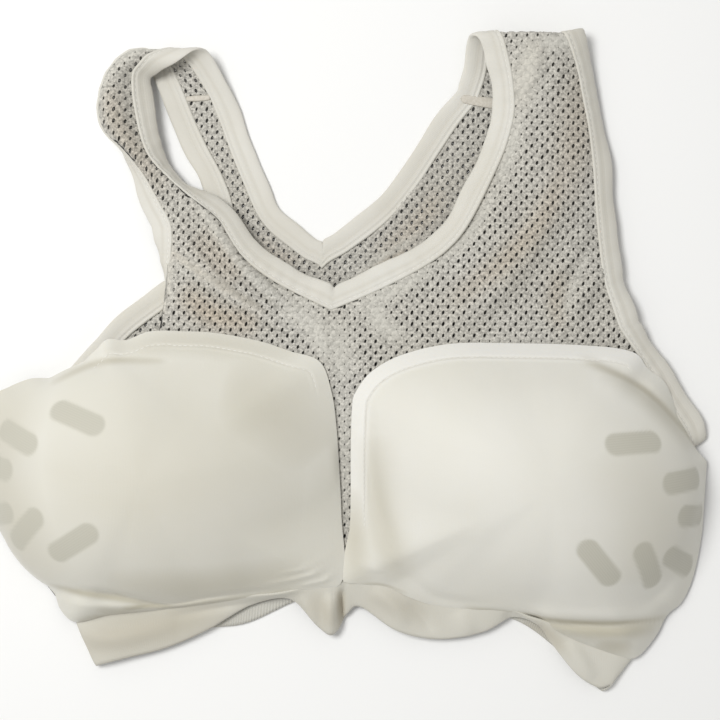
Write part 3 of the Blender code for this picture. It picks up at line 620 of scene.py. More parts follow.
# Sections from the foot of the neckline up over the fold, as shares: arm_x, arm_y, arm_z, neck_x,
# neck_y, neck_z, arm_arch, neck_arch, and the curl of the tape on either seam in degrees
FRONT_PANEL = {
    "left": (
        (-0.253, 0.094, 0.55, -0.026, 0.076, 0.60, 0.05, 0.05, 170, 10),
        (-0.249, 0.139, 0.55, -0.104, 0.119, 0.63, 0.20, 0.15, 110, 15),
        (-0.247, 0.199, 0.50, -0.151, 0.159, 0.70, 0.15, 0.20, 12, 20),
        (-0.263, 0.236, 0.48, -0.180, 0.207, 0.75, 0.15, 0.25, 4, 20),
        (-0.286, 0.281, 0.50, -0.218, 0.243, 0.80, 0.20, 0.25, 4, 20),
        (-0.312, 0.316, 0.55, -0.250, 0.273, 0.80, 0.45, 0.25, 20, 15),
        (-0.339, 0.346, 0.60, -0.281, 0.313, 0.80, 0.90, 0.23, 90, 15),
        (-0.347, 0.378, 0.63, -0.297, 0.378, 0.80, 0.90, 0.23, 90, 15),
        (-0.340, 0.419, 0.65, -0.300, 0.426, 0.85, 0.75, 0.23, 90, 15),
        (-0.324, 0.446, 0.72, -0.290, 0.443, 0.93, 0.50, 0.20, 60, 15),
        (-0.303, 0.463, 0.74, -0.275, 0.458, 0.95, 0.25, 0.15, 40, 10),
        (-0.277, 0.467, 0.48, -0.245, 0.467, 0.66, 0.10, 0.10, 20, 5),
        (-0.254, 0.452, 0.27, -0.225, 0.450, 0.40, 0.00, 0.05, 0, 0),
        (-0.240, 0.425, 0.16, -0.209, 0.425, 0.22, 0.00, 0.00, 0, 0),
        (-0.229, 0.397, 0.13, -0.195, 0.399, 0.13, 0.00, 0.00, 0, 0),
    ),
    "right": (
        (0.373, 0.049, 0.55, -0.026, 0.076, 0.60, 0.10, 0.05, 30, 10),
        (0.362, 0.085, 0.55, 0.035, 0.104, 0.60, 0.15, 0.10, 30, 15),
        (0.351, 0.124, 0.53, 0.097, 0.138, 0.63, 0.25, 0.15, 25, 20),
        (0.344, 0.181, 0.53, 0.137, 0.169, 0.63, 0.30, 0.15, 20, 20),
        (0.340, 0.231, 0.53, 0.167, 0.211, 0.65, 0.30, 0.20, 20, 20),
        (0.336, 0.294, 0.53, 0.206, 0.297, 0.65, 0.30, 0.20, 20, 15),
        (0.330, 0.348, 0.55, 0.220, 0.339, 0.65, 0.30, 0.20, 30, 15),
        (0.322, 0.391, 0.60, 0.227, 0.378, 0.70, 0.30, 0.20, 30, 15),
        (0.314, 0.434, 0.65, 0.224, 0.422, 0.75, 0.25, 0.15, 30, 15),
        (0.305, 0.464, 0.75, 0.217, 0.459, 0.83, 0.20, 0.15, 30, 10),
        (0.297, 0.485, 0.80, 0.209, 0.486, 0.85, 0.15, 0.15, 20, 10),
        (0.290, 0.491, 0.65, 0.200, 0.492, 0.70, 0.10, 0.10, 10, 10),
        (0.290, 0.470, 0.30, 0.193, 0.473, 0.35, 0.00, 0.00, 0, 0),
        (0.293, 0.425, 0.13, 0.189, 0.434, 0.15, 0.00, 0.00, 0, 0),
        (0.293, 0.376, 0.11, 0.177, 0.394, 0.11, 0.00, 0.00, 0, 0),
    ),
}

# Lower edge, tucked under the covers, from the arm seam to the foot of the V: x, y, z
FRONT_PANEL_TUCK = {
    "left": (
        (-0.263, 0.029, 0.41),
        (-0.228, 0.028, 0.53),
        (-0.180, 0.023, 0.57),
        (-0.124, 0.011, 0.60),
        (-0.083, -0.005, 0.61),
        (-0.054, -0.026, 0.62),
        (-0.039, -0.059, 0.63),
        (-0.029, -0.119, 0.63),
        (-0.025, -0.210, 0.63),
        (-0.023, -0.277, 0.62),
        (-0.007, -0.306, 0.60),
    ),
    "right": (
        (0.401, 0.004, 0.49),
        (0.345, 0.005, 0.49),
        (0.283, 0.007, 0.51),
        (0.221, 0.011, 0.57),
        (0.137, 0.010, 0.60),
        (0.097, -0.001, 0.61),
        (0.058, -0.026, 0.62),
        (0.030, -0.059, 0.63),
        (0.019, -0.119, 0.63),
        (0.015, -0.210, 0.63),
        (0.011, -0.277, 0.62),
        (-0.007, -0.306, 0.60),
    ),
}
FOLD_ROW = 11
FRONT_BODY_ROWS = 70

# Soft folds of the yoke: x and y of three points, half width and height in millimetres
FRONT_FOLDS = (
    (-0.252, 0.152, -0.165, 0.095, -0.062, 0.030, 3.4, 4.2),
    (-0.214, 0.256, -0.148, 0.140, -0.052, 0.046, 3.4, 5.0),
    (-0.232, 0.222, -0.172, 0.128, -0.098, 0.070, 3.4, -3.2),
    (-0.238, 0.262, -0.225, 0.200, -0.215, 0.150, 3.5, 1.8),
    (-0.190, 0.214, -0.120, 0.130, -0.050, 0.078, 2.8, -2.2),
    (0.300, 0.260, 0.215, 0.120, 0.130, 0.034, 7.0, 4.0),
    (0.240, 0.330, 0.165, 0.190, 0.085, 0.075, 7.0, -2.4),
    (0.352, 0.140, 0.318, 0.085, 0.292, 0.032, 3.2, 3.0),
    (0.330, 0.205, 0.300, 0.150, 0.270, 0.112, 3.6, 2.0),
    (0.252, 0.478, 0.256, 0.436, 0.236, 0.396, 3.4, 2.0),
    (0.282, 0.470, 0.286, 0.432, 0.276, 0.390, 2.6, 1.4),
    (-0.040, 0.064, -0.036, 0.010, -0.020, -0.060, 2.0, 1.8),
    (-0.010, 0.060, -0.004, 0.016, 0.004, -0.050, 3.0, -1.6),
    (0.050, 0.066, 0.058, 0.030, 0.096, 0.014, 3.0, -2.0),
)


def front_half(side):
    """One side of the front above the covers, and how its tape curls at the arm and the neck."""
    rows = spline(FRONT_PANEL[side], FINE)
    arms, necks = placed(rows[:, 0:3]), placed(rows[:, 3:6])
    arches = rows[:, 6:8] * RISE
    grid = np.array([section(*row) for row in zip(arms, necks, *arches.T)])
    return grid, np.radians(rows[:, 8:10])


def front_cut(grid, fold):
    """Where the front was cut: plan up to the fold, and on by distance beyond it."""
    cut = grid[..., :2].copy()
    for i in range(fold, len(grid)):
        step = np.linalg.norm(grid[i] - grid[i - 1], axis=1).mean()
        cut[i, :, 1] = cut[i - 1, :, 1] + step
    return cut


def front_patches():
    """The front in four parts: each side's body, tucked under its cover, and its strap."""
    patches = []
    for side in ("left", "right"):
        upper, _ = front_half(side)
        tuck = even(spline(placed(FRONT_PANEL_TUCK[side]), FINE), PANEL_COLUMNS)
        body = np.vstack([ruled(tuck, upper[0], FRONT_BODY_ROWS), upper[:1]])
        body = widened(body, NET_TUCK, 0)
        strap = widened(upper, NET_TUCK, NET_TUCK)
        for part, fold in ((body, len(body)), (strap, FOLD_ROW * FINE)):
            part = creased(part, FRONT_FOLDS)
            normals = grid_normals(part)
            if normals[0, :, 2].mean() < 0:
                normals = -normals
            patches.append((front_cut(part, fold), part, normals))
    return patches


# Strips where seams and folds close the eyelets from behind, and tan strips, partly painted shade
# along folds: x and y of three points as shares, half width in millimetres and strength
FRONT_CLOSED = (
    (0.000, 0.074, 0.060, 0.104, 0.118, 0.142, 3.4, 0.9),
    (0.118, 0.142, 0.166, 0.192, 0.203, 0.262, 3.0, 0.9),
    (0.203, 0.262, 0.222, 0.316, 0.236, 0.384, 4.0, 0.9),
    (0.232, 0.375, 0.242, 0.430, 0.256, 0.478, 8.0, 1.0),
    (0.250, 0.468, 0.285, 0.476, 0.325, 0.470, 5.0, 0.9),
    (0.036, 0.088, 0.040, 0.060, 0.070, 0.030, 5.0, 1.0),
    (-0.030, 0.062, -0.016, 0.020, -0.006, -0.030, 7.0, 0.75),
    (-0.008, -0.040, -0.006, -0.130, -0.010, -0.250, 5.0, 0.45),
    (-0.258, 0.205, -0.254, 0.130, -0.262, 0.070, 3.6, 1.0),
    (-0.250, 0.165, -0.190, 0.120, -0.120, 0.074, 2.6, 0.9),
    (-0.212, 0.240, -0.152, 0.150, -0.094, 0.086, 2.6, 0.9),
    (-0.094, 0.086, -0.050, 0.050, -0.022, -0.010, 6.0, 0.9),
    (-0.140, 0.140, -0.090, 0.100, -0.040, 0.080, 2.4, 0.6),
    (-0.225, 0.462, -0.290, 0.470, -0.325, 0.440, 4.6, 0.9),
    (-0.325, 0.440, -0.352, 0.390, -0.345, 0.330, 3.6, 0.9),
    (-0.345, 0.330, -0.300, 0.262, -0.250, 0.205, 3.0, 0.7),
    (0.295, 0.070, 0.312, 0.120, 0.332, 0.170, 1.6, 0.8),
    (-0.300, 0.030, -0.220, 0.032, -0.130, 0.026, 2.6, 0.5),
    (0.110, 0.020, 0.240, 0.028, 0.350, 0.014, 2.4, 0.45),
)
FRONT_TAN_AND_SHADE = (
    (0.307, 0.316, 0.249, 0.189, 0.138, 0.083, 7.0, 0.55),
    (0.290, 0.046, 0.283, 0.091, 0.290, 0.136, 5.0, 0.40),
    (-0.329, 0.406, -0.315, 0.346, -0.256, 0.256, 6.0, 0.45),
    (-0.235, 0.106, -0.187, 0.068, -0.124, 0.053, 8.0, 0.75),
    (-0.215, 0.190, -0.180, 0.150, -0.150, 0.120, 9.0, 0.45),
    (0.330, 0.440, 0.310, 0.330, 0.290, 0.230, 12.0, 0.40),
    (-0.250, 0.165, -0.190, 0.120, -0.120, 0.074, 2.2, 0.7),
    (-0.258, 0.205, -0.254, 0.130, -0.262, 0.070, 3.6, 0.35),
    (0.232, 0.375, 0.242, 0.430, 0.256, 0.478, 6.0, 0.30),
)
V_TONGUE = 0.1
front_lies_on = [back_net, "cup_left", "cup_right"]
knitted("front_net", front_patches(), "front_mesh", front_lies_on, FRONT_CLOSED, FRONT_TAN_AND_SHADE, V_TONGUE)


# Cups. Two mirrored shells of moulded plastic, each with six rounded slots that let air through.
# They lie loose under the covers, and only their slots show, through the jersey.

CUP_LENGTH = 0.180
CUP_DEPTH = 0.056

# At every 15 degrees from the outer side of the right cup: reach, rim height, profile exponent
CUP_PLAN = (
    (0.480, 0.16, 0.50),
    (0.450, 0.36, 0.50),
    (0.416, 0.46, 0.52),
    (0.394, 0.50, 0.55),
    (0.384, 0.56, 0.62),
    (0.371, 0.65, 0.70),
    (0.371, 0.68, 0.78),
    (0.386, 0.70, 0.82),
    (0.429, 0.76, 0.85),
    (0.494, 0.82, 0.88),
    (0.556, 0.86, 0.92),
    (0.553, 0.88, 0.92),
    (0.524, 0.88, 0.90),
    (0.485, 0.86, 0.88),
    (0.450, 0.76, 0.85),
    (0.400, 0.62, 0.80),
    (0.384, 0.46, 0.72),
    (0.378, 0.34, 0.65),
    (0.384, 0.26, 0.60),
    (0.426, 0.20, 0.56),
    (0.461, 0.16, 0.54),
    (0.480, 0.14, 0.52),
    (0.484, 0.13, 0.50),
    (0.482, 0.13, 0.50),
)

# Where each cup lies: the x and y of its middle as shares, and its turn in degrees
CUP_PLACES = {
    "left": (-0.276, -0.177, -18),
    "right": (0.269, -0.180, 0),
}

# Slots of the right cup: bearing in degrees, reach as a share, lean in degrees from the radius
SLOTS = (
    (27, 0.64, -22),
    (1, 0.84, 4),
    (-13, 0.94, 4),
    (-31, 0.95, 0),
    (-40, 0.79, -20),
    (-59, 0.58, 8),
)


def cup_plastic():
    """Semi-matt polyethylene, slightly yellow, with a moulded grain."""
    material, t, plastic = shader("cup_shell", (0.66, 0.64, 0.56), 0.42, subsurface=0.1)
    t.surface(plastic, None, t.noise(t.spot(), 700.0, 3.0), 0.2, 0.0002)
    return material


cup_shell = cup_plastic()
for side in ("left", "right"):
    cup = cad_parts["cup_" + side]
    cup.data.materials.clear()
    cup.data.materials.append(cup_shell)


# Covers. A stretch jersey cover is pulled tight over each cup and sewn down round its foot. Its
# upper edge is turned under and stitched, and the slots of the cup show through as grey ovals of
# painted shade.

COVER_LIFT = 0.0012
COVER_WALL = 0.0011
COVER_ROOM = 0.0012
COVER_STATIONS = 300
COVER_RINGS = 112
RING_CROWDING = 1.6
HEM_WIDTH = 0.0092
FOLD_SOFTNESS = 0.0004
SEAM_SOFTNESS = 0.0006
HEM_RISE = 0.00085
SEAM_SINK = 0.00075

# Each slot's painted shade on the cover, and how softly and how deep down the side it shows
SHOWN_LENGTH = 0.0345
SHOWN_WIDTH = 0.0122
SHOWN_BLUR = 0.0022
SHOWN_DEPTH = 0.014

# Edge of each cover: x, y, z as shares, and the belly of its slack
COVER_OUTLINE = {
    "left": (
        (-0.276, 0.044, 0.55, 0),
        (-0.231, 0.044, 0.64, 0),
        (-0.182, 0.041, 0.67, 0),
        (-0.124, 0.029, 0.70, 0),
        (-0.082, 0.014, 0.71, 0),
        (-0.041, -0.002, 0.72, 0),
        (-0.025, -0.049, 0.72, 0),
        (-0.019, -0.095, 0.72, 0),
        (-0.015, -0.157, 0.72, 0),
        (-0.012, -0.225, 0.72, 0),
        (-0.012, -0.300, 0.68, 0),
        (-0.019, -0.334, 0.62, 0),
        (-0.044, -0.339, 0.65, 0),
        (-0.083, -0.345, 0.60, 0),
        (-0.138, -0.352, 0.55, 0),
        (-0.199, -0.361, 0.47, 0.10),
        (-0.256, -0.369, 0.42, 0.10),
        (-0.332, -0.379, 0.38, 0.15),
        (-0.379, -0.390, 0.33, 0.20),
        (-0.401, -0.372, 0.20, 0.10),
        (-0.412, -0.345, 0.13, 0),
        (-0.449, -0.310, 0.13, 0),
        (-0.475, -0.274, 0.12, 0),
        (-0.497, -0.222, 0.12, 0),
        (-0.504, -0.165, 0.15, 0),
        (-0.503, -0.107, 0.33, 0),
        (-0.489, -0.062, 0.36, 0),
        (-0.464, -0.046, 0.36, 0),
        (-0.435, -0.034, 0.39, 0),
        (-0.401, -0.023, 0.43, 0),
        (-0.373, -0.005, 0.47, 0),
        (-0.352, 0.016, 0.49, 0),
        (-0.336, 0.032, 0.50, 0),
        (-0.310, 0.031, 0.52, 0),
    ),
    "right": (
        (0.003, -0.067, 0.72, 0),
        (0.008, -0.047, 0.72, 0),
        (0.029, -0.017, 0.72, 0),
        (0.070, 0.008, 0.70, 0),
        (0.137, 0.025, 0.68, 0),
        (0.221, 0.026, 0.66, 0),
        (0.321, 0.023, 0.64, 0),
        (0.384, 0.014, 0.61, 0),
        (0.406, -0.014, 0.57, 0),
        (0.427, -0.050, 0.47, 0),
        (0.442, -0.093, 0.40, 0),
        (0.466, -0.138, 0.28, 0),
        (0.489, -0.165, 0.16, 0),
        (0.489, -0.217, 0.12, 0),
        (0.485, -0.270, 0.12, 0),
        (0.474, -0.327, 0.12, 0),
        (0.459, -0.363, 0.12, 0.10),
        (0.439, -0.382, 0.15, 0.10),
        (0.423, -0.414, 0.16, 0.10),
        (0.398, -0.444, 0.20, 0.10),
        (0.376, -0.444, 0.25, 0.10),
        (0.345, -0.431, 0.35, 0.10),
        (0.311, -0.416, 0.40, 0.10),
        (0.278, -0.397, 0.45, 0.10),
        (0.247, -0.378, 0.47, 0),
        (0.187, -0.372, 0.47, 0),
        (0.127, -0.366, 0.45, 0),
        (0.090, -0.354, 0.55, 0),
        (0.055, -0.336, 0.60, 0),
        (0.021, -0.330, 0.62, 0),
        (0.000, -0.327, 0.62, 0),
        (-0.003, -0.300, 0.68, 0),
        (0.000, -0.249, 0.72, 0),
        (0.001, -0.195, 0.72, 0),
        (0.001, -0.134, 0.72, 0),
    ),
}

# How far the cover laps over the tape and the band beyond that edge, the share of x at which the
# right hem reaches the armhole, and where its seam runs
COVER_LAP = 0.0022
HEM_CORNER = 0.392
HEM_SEAM = HEM_WIDTH - 0.0012

# Creases where the slack cloth folds at the foot of each cup: x and y of three points as shares,
# half width and height in millimetres
COVER_FOLDS = {
    "left": (
        (-0.372, -0.336, -0.318, -0.349, -0.246, -0.371, 2.4, -3.2),
        (-0.408, -0.352, -0.345, -0.364, -0.285, -0.368, 3.6, 2.6),
        (-0.250, -0.367, -0.160, -0.350, -0.075, -0.341, 2.0, -1.2),
        (-0.115, -0.334, -0.062, -0.322, -0.018, -0.300, 1.5, 0.9),
        (-0.100, -0.318, -0.055, -0.306, -0.020, -0.284, 1.4, 0.6),
        (-0.070, -0.338, -0.040, -0.330, -0.016, -0.318, 1.3, 0.8),
        (-0.425, -0.040, -0.340, -0.002, -0.240, 0.000, 3.2, -1.3),
    ),
    "right": (
        (0.024, -0.055, 0.031, -0.180, 0.066, -0.300, 4.0, -1.8),
        (0.060, -0.290, 0.115, -0.352, 0.200, -0.366, 3.2, -1.2),
        (0.180, -0.380, 0.290, -0.394, 0.440, -0.392, 2.7, -3.6),
        (0.200, -0.366, 0.300, -0.378, 0.430, -0.374, 3.6, 1.2),
        (0.335, 0.002, 0.405, -0.042, 0.476, -0.118, 3.4, -2.6),
        (0.330, -0.030, 0.395, -0.070, 0.460, -0.135, 6.0, 1.2),
        (0.008, -0.310, 0.022, -0.306, 0.040, -0.315, 2.0, 0.8),
        (0.280, -0.404, 0.340, -0.416, 0.400, -0.408, 4.0, 1.2),
    ),
}

# Where the covers are darker: painted shade along their creases, folds and slack cloth, and broad
# darker
# patches over the domes: x and y of three points as shares, half width in millimetres and strength
COVER_SHADES = {
    "left": (
        (-0.420, -0.170, -0.250, -0.170, -0.060, -0.190, 48.0, 0.30),
        (-0.180, -0.060, -0.110, -0.080, -0.050, -0.150, 26.0, 0.36),
        (-0.330, -0.330, -0.200, -0.335, -0.060, -0.315, 13.0, 0.40),
        (-0.420, -0.334, -0.345, -0.348, -0.240, -0.372, 2.2, 0.60),
        (-0.325, -0.345, -0.297, -0.360, -0.265, -0.371, 1.8, 0.55),
        (-0.275, -0.371, -0.180, -0.362, -0.060, -0.346, 3.4, 0.50),
        (-0.320, -0.374, -0.280, -0.368, -0.230, -0.371, 2.2, 0.70),
        (-0.350, -0.372, -0.320, -0.378, -0.280, -0.372, 4.0, 0.40),
        (-0.340, 0.010, -0.230, 0.030, -0.070, 0.008, 8.0, 0.34),
        (-0.380, -0.395, -0.340, -0.385, -0.290, -0.372, 3.0, 0.35),
        (-0.470, -0.020, -0.480, -0.170, -0.420, -0.340, 26.0, 0.42),
        (-0.410, -0.034, -0.340, -0.002, -0.250, 0.000, 2.4, 0.50),
    ),
    "right": (
        (0.030, -0.110, 0.042, -0.230, 0.070, -0.330, 9.0, 0.42),
        (0.006, -0.190, 0.006, -0.260, 0.012, -0.335, 8.0, 0.42),
        (0.320, 0.002, 0.405, -0.046, 0.482, -0.128, 2.8, 0.66),
        (0.345, -0.010, 0.410, -0.058, 0.470, -0.130, 6.0, 0.40),
        (0.350, -0.120, 0.400, -0.220, 0.400, -0.330, 26.0, 0.22),
        (0.160, -0.374, 0.290, -0.390, 0.440, -0.390, 2.1, 0.80),
        (0.250, -0.394, 0.340, -0.404, 0.425, -0.400, 5.5, 0.66),
        (0.340, -0.420, 0.365, -0.428, 0.390, -0.425, 7.0, 0.45),
        (0.000, -0.338, 0.040, -0.336, 0.080, -0.350, 1.2, 0.40),
    ),
}


def cup_stations(count):
    """Bearing, reach, rim height and profile exponent at each station round a cup."""
    plan = loop(CUP_PLAN, 12)
    bearings = np.linspace(0.0, 2 * math.pi, count, endpoint=False)
    known = np.linspace(0.0, 2 * math.pi, len(plan), endpoint=False)
    reach, rim, power = (np.interp(bearings, known, c, period=2 * math.pi) for c in plan.T)
    return bearings, reach * CUP_LENGTH, rim * RISE, power


def dome_point(bearing, share, reach, rim, power):
    """Points on a cup's outer face, at a share of the way from its crown to its rim."""
    radius = share * reach
    height = rim + (CUP_DEPTH - rim) * np.maximum(1 - share**2, 0.0) ** power
    return np.stack([radius * np.cos(bearing), radius * np.sin(bearing), height], axis=-1)


def cup_place(side):
    """The turn of a cup in plan, and where its middle lies."""
    x, y, turn = CUP_PLACES[side]
    c, s = math.cos(math.radians(turn)), math.sin(math.radians(turn))
    return np.array([[c, s], [-s, c]]), (x * WIDTH, y * LENGTH)


def cup_to_world(points, side):
    """Points of the right cup's own plan where they lie on the guard."""
    turn, middle = cup_place(side)
    moved = np.array(points, float)
    if side == "left":
        moved[..., 0] *= -1
    moved[..., :2] = moved[..., :2] @ turn + middle
    return moved


def world_to_cup(points, side):
    """The same way back."""
    turn, middle = cup_place(side)
    moved = np.array(points, float)
    moved[..., :2] = (moved[..., :2] - middle) @ turn.T
    if side == "left":
        moved[..., 0] *= -1
    return moved


def slot_show(points):
    """How much of a slot shows at each point of the right cup's own plan, and the way along it."""
    shown = np.zeros(points.shape[:-1])
    run = np.zeros(points.shape[:-1])
    bearings, reach, rim, power = cup_stations(360)
    straight = (SHOWN_LENGTH - SHOWN_WIDTH) / 2
    for bearing, share, lean in SLOTS:
        angle = math.radians(bearing) % (2 * math.pi)
        here = [np.interp(angle, bearings, c, period=2 * math.pi) for c in (reach, rim, power)]
        middle = dome_point(angle, share, *here)
        outward = unit(dome_point(angle, share + 0.02, *here) - middle)
        normal = unit(np.cross(outward, (-math.sin(angle), math.cos(angle), 0.0)))
        sideways = np.cross(normal, outward)
        c, s = math.cos(math.radians(lean)), math.sin(math.radians(lean))
        along, athwart = outward * c + sideways * s, sideways * c - outward * s
        off = points - middle
        u, v, w = off @ along, off @ athwart, off @ normal
        beyond = np.hypot(np.maximum(np.abs(u) - straight, 0.0), v) - SHOWN_WIDTH / 2
        near = np.clip(0.5 - beyond / SHOWN_BLUR, 0.0, 1.0) * (np.abs(w) < SHOWN_DEPTH)
        near = near * near * (3 - 2 * near)
        run = np.where(near > shown, v, run)
        shown = np.maximum(shown, near)
    return shown, run


def hull(reach, height):
    """Height of a cloth pulled over a profile, from its outer edge to where it meets the dome."""
    slope = (height[:-1] - height[-1]) / np.maximum(reach[-1] - reach[:-1], 0.0008)
    met = slope.argmax()
    line = height[-1] + slope[met] * (reach[-1] - reach)
    return np.where(np.arange(len(reach)) > met, line, height)


def cover_laps(edge, hemmed, side):
    """How far the cover laps beyond its edge: not at the hem, most at the armhole, and more than
    elsewhere at the right cover's foot, which closes the V below its net."""
    x, y = edge[:, 0], edge[:, 1]
    laps = np.where(hemmed & (x < HEM_CORNER), 0.0, COVER_LAP)
    armhole = ~hemmed & (np.abs(x) > 0.33) & (y > -0.16)
    laps[armhole] = (2 if side == "left" else 3) * COVER_LAP
    if side == "right":
        laps[(np.abs(x) < 0.05) & (y < -0.30) & (y > -0.345)] = 1.8 * COVER_LAP
    for _ in range(12):
        laps = (np.roll(laps, 1) + np.roll(laps, -1) + 2 * laps) / 4
    return laps


def cover_rays(side):
    """Points of a cover along even rays from the crown of its cup to the cover's edge."""
    stations = cup_stations(COVER_STATIONS)
    shares = np.sin(np.linspace(0.0, math.pi / 2, 60))
    dome = np.array([dome_point(stations[0], share, *stations[1:]) for share in shares])
    around = np.roll(dome, -1, axis=1) - np.roll(dome, 1, axis=1)
    lift = unit(np.cross(np.gradient(dome, axis=0), around))
    lift[0] = UP
    over = dome + lift * COVER_LIFT
    edge = loop(COVER_OUTLINE[side], 10)
    hemmed = (edge[:, 1] > -0.03) | ((np.abs(edge[:, 0]) < 0.05) & (edge[:, 1] > -0.27))
    points = world_to_cup(placed(edge), side)
    bearings = np.arctan2(points[:, 1], points[:, 0])
    order = np.argsort(bearings)
    wanted = np.arctan2(over[-1, :, 1], over[-1, :, 0])
    reach = np.hypot(points[:, 0], points[:, 1]) + cover_laps(edge, hemmed, side)
    columns = (reach, points[:, 2], edge[:, 3] * RISE)
    read = [np.interp(wanted, bearings[order], c[order], period=2 * math.pi) for c in columns]
    rays = []
    for j, bearing in enumerate(wanted):
        known = np.hypot(over[:, j, 0], over[:, j, 1])
        outer = max(read[0][j], known[-1] + COVER_ROOM)
        reach = outer * (1 - np.linspace(1.0, 0.0, COVER_RINGS) ** RING_CROWDING)
        height = np.interp(reach, [*known, outer], [*over[:, j, 2], read[1][j]])
        height = hull(reach, height)
        slack = np.clip((reach - known[-1]) / (outer - known[-1]), 0.0, 1.0)
        height += 4 * slack * (1 - slack) * read[2][j]
        for _ in range(10):
            height[1:-1] = (height[:-2] + height[2:] + 2 * height[1:-1]) / 4
        rays.append(np.column_stack([reach * math.cos(bearing), reach * math.sin(bearing), height]))
    grid = np.stack(rays, axis=1)
    grid[0] = grid[0].mean(axis=0)
    return grid, edge, hemmed


def edge_distance(grid, edge, hemmed):
    """How far each point lies in plan from the hemmed part of the cover's edge."""
    away = np.empty(grid.shape[:2])
    marks = placed(edge)[:, :2]
    for i, ring in enumerate(grid):
        apart = np.linalg.norm(ring[:, None, :2] - marks[None], axis=2)
        nearest = apart.argmin(axis=1)
        away[i] = np.where(hemmed[nearest], apart.min(axis=1), 0.05)
    return away


def hem_relief(away):
    """Height that the doubled hem and its seam add to a cover, and where each of them lies."""
    fold = 1 / (1 + np.exp((away - HEM_WIDTH) / FOLD_SOFTNESS))
    seam = np.exp(-(((away - HEM_SEAM) / SEAM_SOFTNESS) ** 2))
    return HEM_RISE * fold - SEAM_SINK * seam, fold, seam


def hem_fade(grid, side):
    """The turned hem dies out towards the armhole, and down the side of the V."""
    x, y = grid[..., 0] / WIDTH, grid[..., 1] / LENGTH
    low, high = (-0.07, 0.01) if side == "left" else (-0.27, -0.21)
    inner = np.clip((y - low) / (high - low), 0.0, 1.0)
    outer = np.clip((y + 0.025) / 0.035, 0.0, 1.0)
    fade = np.where(np.abs(x) < 0.2, inner, outer)
    return fade * fade * (3 - 2 * fade)


def cover_jersey():
    """White stretch jersey: fine ribs, a soft sheen, painted shade along its creases and the groove of
    its seam, and grey painted shade where a slot lies under it.
    """
    material, t, cloth = shader("cover_jersey", (0.80, 0.78, 0.72), 0.55, sheen=0.2, subsurface=0.1)
    spot = t.spot()
    tone = t.mix(t.noise(spot, 11.0, 3.0), (0.675, 0.655, 0.560, 1), (0.755, 0.745, 0.705, 1))
    tone = t.mix(t.times(t.read("hem"), 0.7), tone, (0.81, 0.80, 0.765, 1))
    # Painted shade along creases, folds and slack cloth, in broad darker patches, and in the hem's seam
    # groove
    tone = t.mix(t.read("shade"), tone, (0.54, 0.50, 0.385, 1), "MULTIPLY")
    # Painted shade where a slot lies under the cloth, ribbed along the slot
    rib = t.maths("SINE", t.times(t.read("rib"), 2 * math.pi / 0.0013))
    slot = t.times(t.read("slot"), t.plus(0.82, t.times(rib, 0.06)))
    tone = t.mix(slot, tone, (0.49, 0.475, 0.40, 1))
    waves = {"Vector": spot, "Scale": 420.0, "Distortion": 0.6}
    ribs = t.add("ShaderNodeTexWave", waves, bands_direction="X").outputs["Fac"]
    drawn = {"Vector": spot, "Rotation": (0.0, 0.0, 0.35), "Scale": (60.0, 420.0, 60.0)}
    crimp = t.noise(t.add("ShaderNodeMapping", drawn).outputs[0], 1.0, 2.0)
    height = t.plus(t.times(ribs, 0.4), t.noise(spot, 1400.0, 2.0))
    t.surface(cloth, tone, t.plus(height, t.times(crimp, 0.8)), 0.22, 0.00015)
    return material


jersey = cover_jersey()


def ring_mesh(name, grid, closed_rows=False, values=()):
    """A piece through rings of points, each ring closed; closed_rows joins the last to the first."""
    mesh = bpy.data.meshes.new(name)
    mesh.from_pydata(grid.reshape(-1, 3), [], quads(*grid.shape[:2], closed_rows))
    write_values(mesh, values)
    sewn = bmesh.new()
    sewn.from_mesh(mesh)
    bmesh.ops.remove_doubles(sewn, verts=sewn.verts, dist=0.00001)
    bmesh.ops.recalc_face_normals(sewn, faces=sewn.faces)
    sewn.to_mesh(mesh)
    sewn.free()
    mesh.shade_smooth()
    return put_in(name, mesh)


def upright(piece):
    """Turns a sheet's faces over where its highest one looks down."""
    top = max(piece.data.polygons, key=lambda face: face.center.z)
    if top.normal.z < 0:
        piece.data.flip_normals()


# How much whiter each turned hem has stayed, how much painted shade lies in the groove of its seam,
# how far the hem has to stand out to be stitched, and the share of its rectangle that a cover fills
# when it is laid flat
HEM_WHITE = {"left": 0.25, "right": 0.9}
SEAM_SHADE = 0.28
STITCHED_FROM = 0.35
CUT_FILL = 0.82
hem_seams = {}
for side in ("left", "right"):
    own, edge, hemmed = cover_rays(side)
    shown, run = slot_show(own)
    grid = cup_to_world(own, side)
    away = edge_distance(grid, edge, hemmed)
    grid = creased(grid, COVER_FOLDS[side])
    fade = hem_fade(grid, side)
    relief, fold, seam_line = (fade * values for values in hem_relief(away))
    grid[..., 2] += relief
    # Painted shade along the creases and folds of the cover
    shade = near_lines(grid, COVER_SHADES[side]).reshape(away.shape)
    # Painted shade in the groove of the hem's seam
    shade = np.maximum(shade, SEAM_SHADE * seam_line)
    seam = []
    for j in range(COVER_STATIONS):
        inside = np.flatnonzero(away[:, j] < HEM_SEAM)
        if len(inside) and fade[inside[0], j] > STITCHED_FROM:
            seam.append(grid[inside[0], j])
    hem_seams[side] = np.array(seam)
    tones = {"slot": shown, "rib": run, "shade": shade, "hem": fold * HEM_WHITE[side]}
    rough = ring_mesh("jersey_cover_" + side, grid, values=tones)
    upright(rough)
    area = sum(face.area for face in rough.data.polygons)
    wall = rough.modifiers.new("wall", "SOLIDIFY")
    wall.thickness = COVER_WALL
    wall.offset = -1.0
    rough.data.materials.append(jersey)
    cover = made_plain(rough, "jersey_cover_" + side)
    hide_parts("cover_" + side)
    cut = np.ptp(grid.reshape(-1, 3)[:, :2], axis=0)
    cut *= math.sqrt(area / (CUT_FILL * cut[0] * cut[1]))


# Tape. A soft stretch tape, folded double, binds the neckline and both armholes in closed loops.
# It holds the net's cut edge between its two halves, and it curls under along the folded strap.

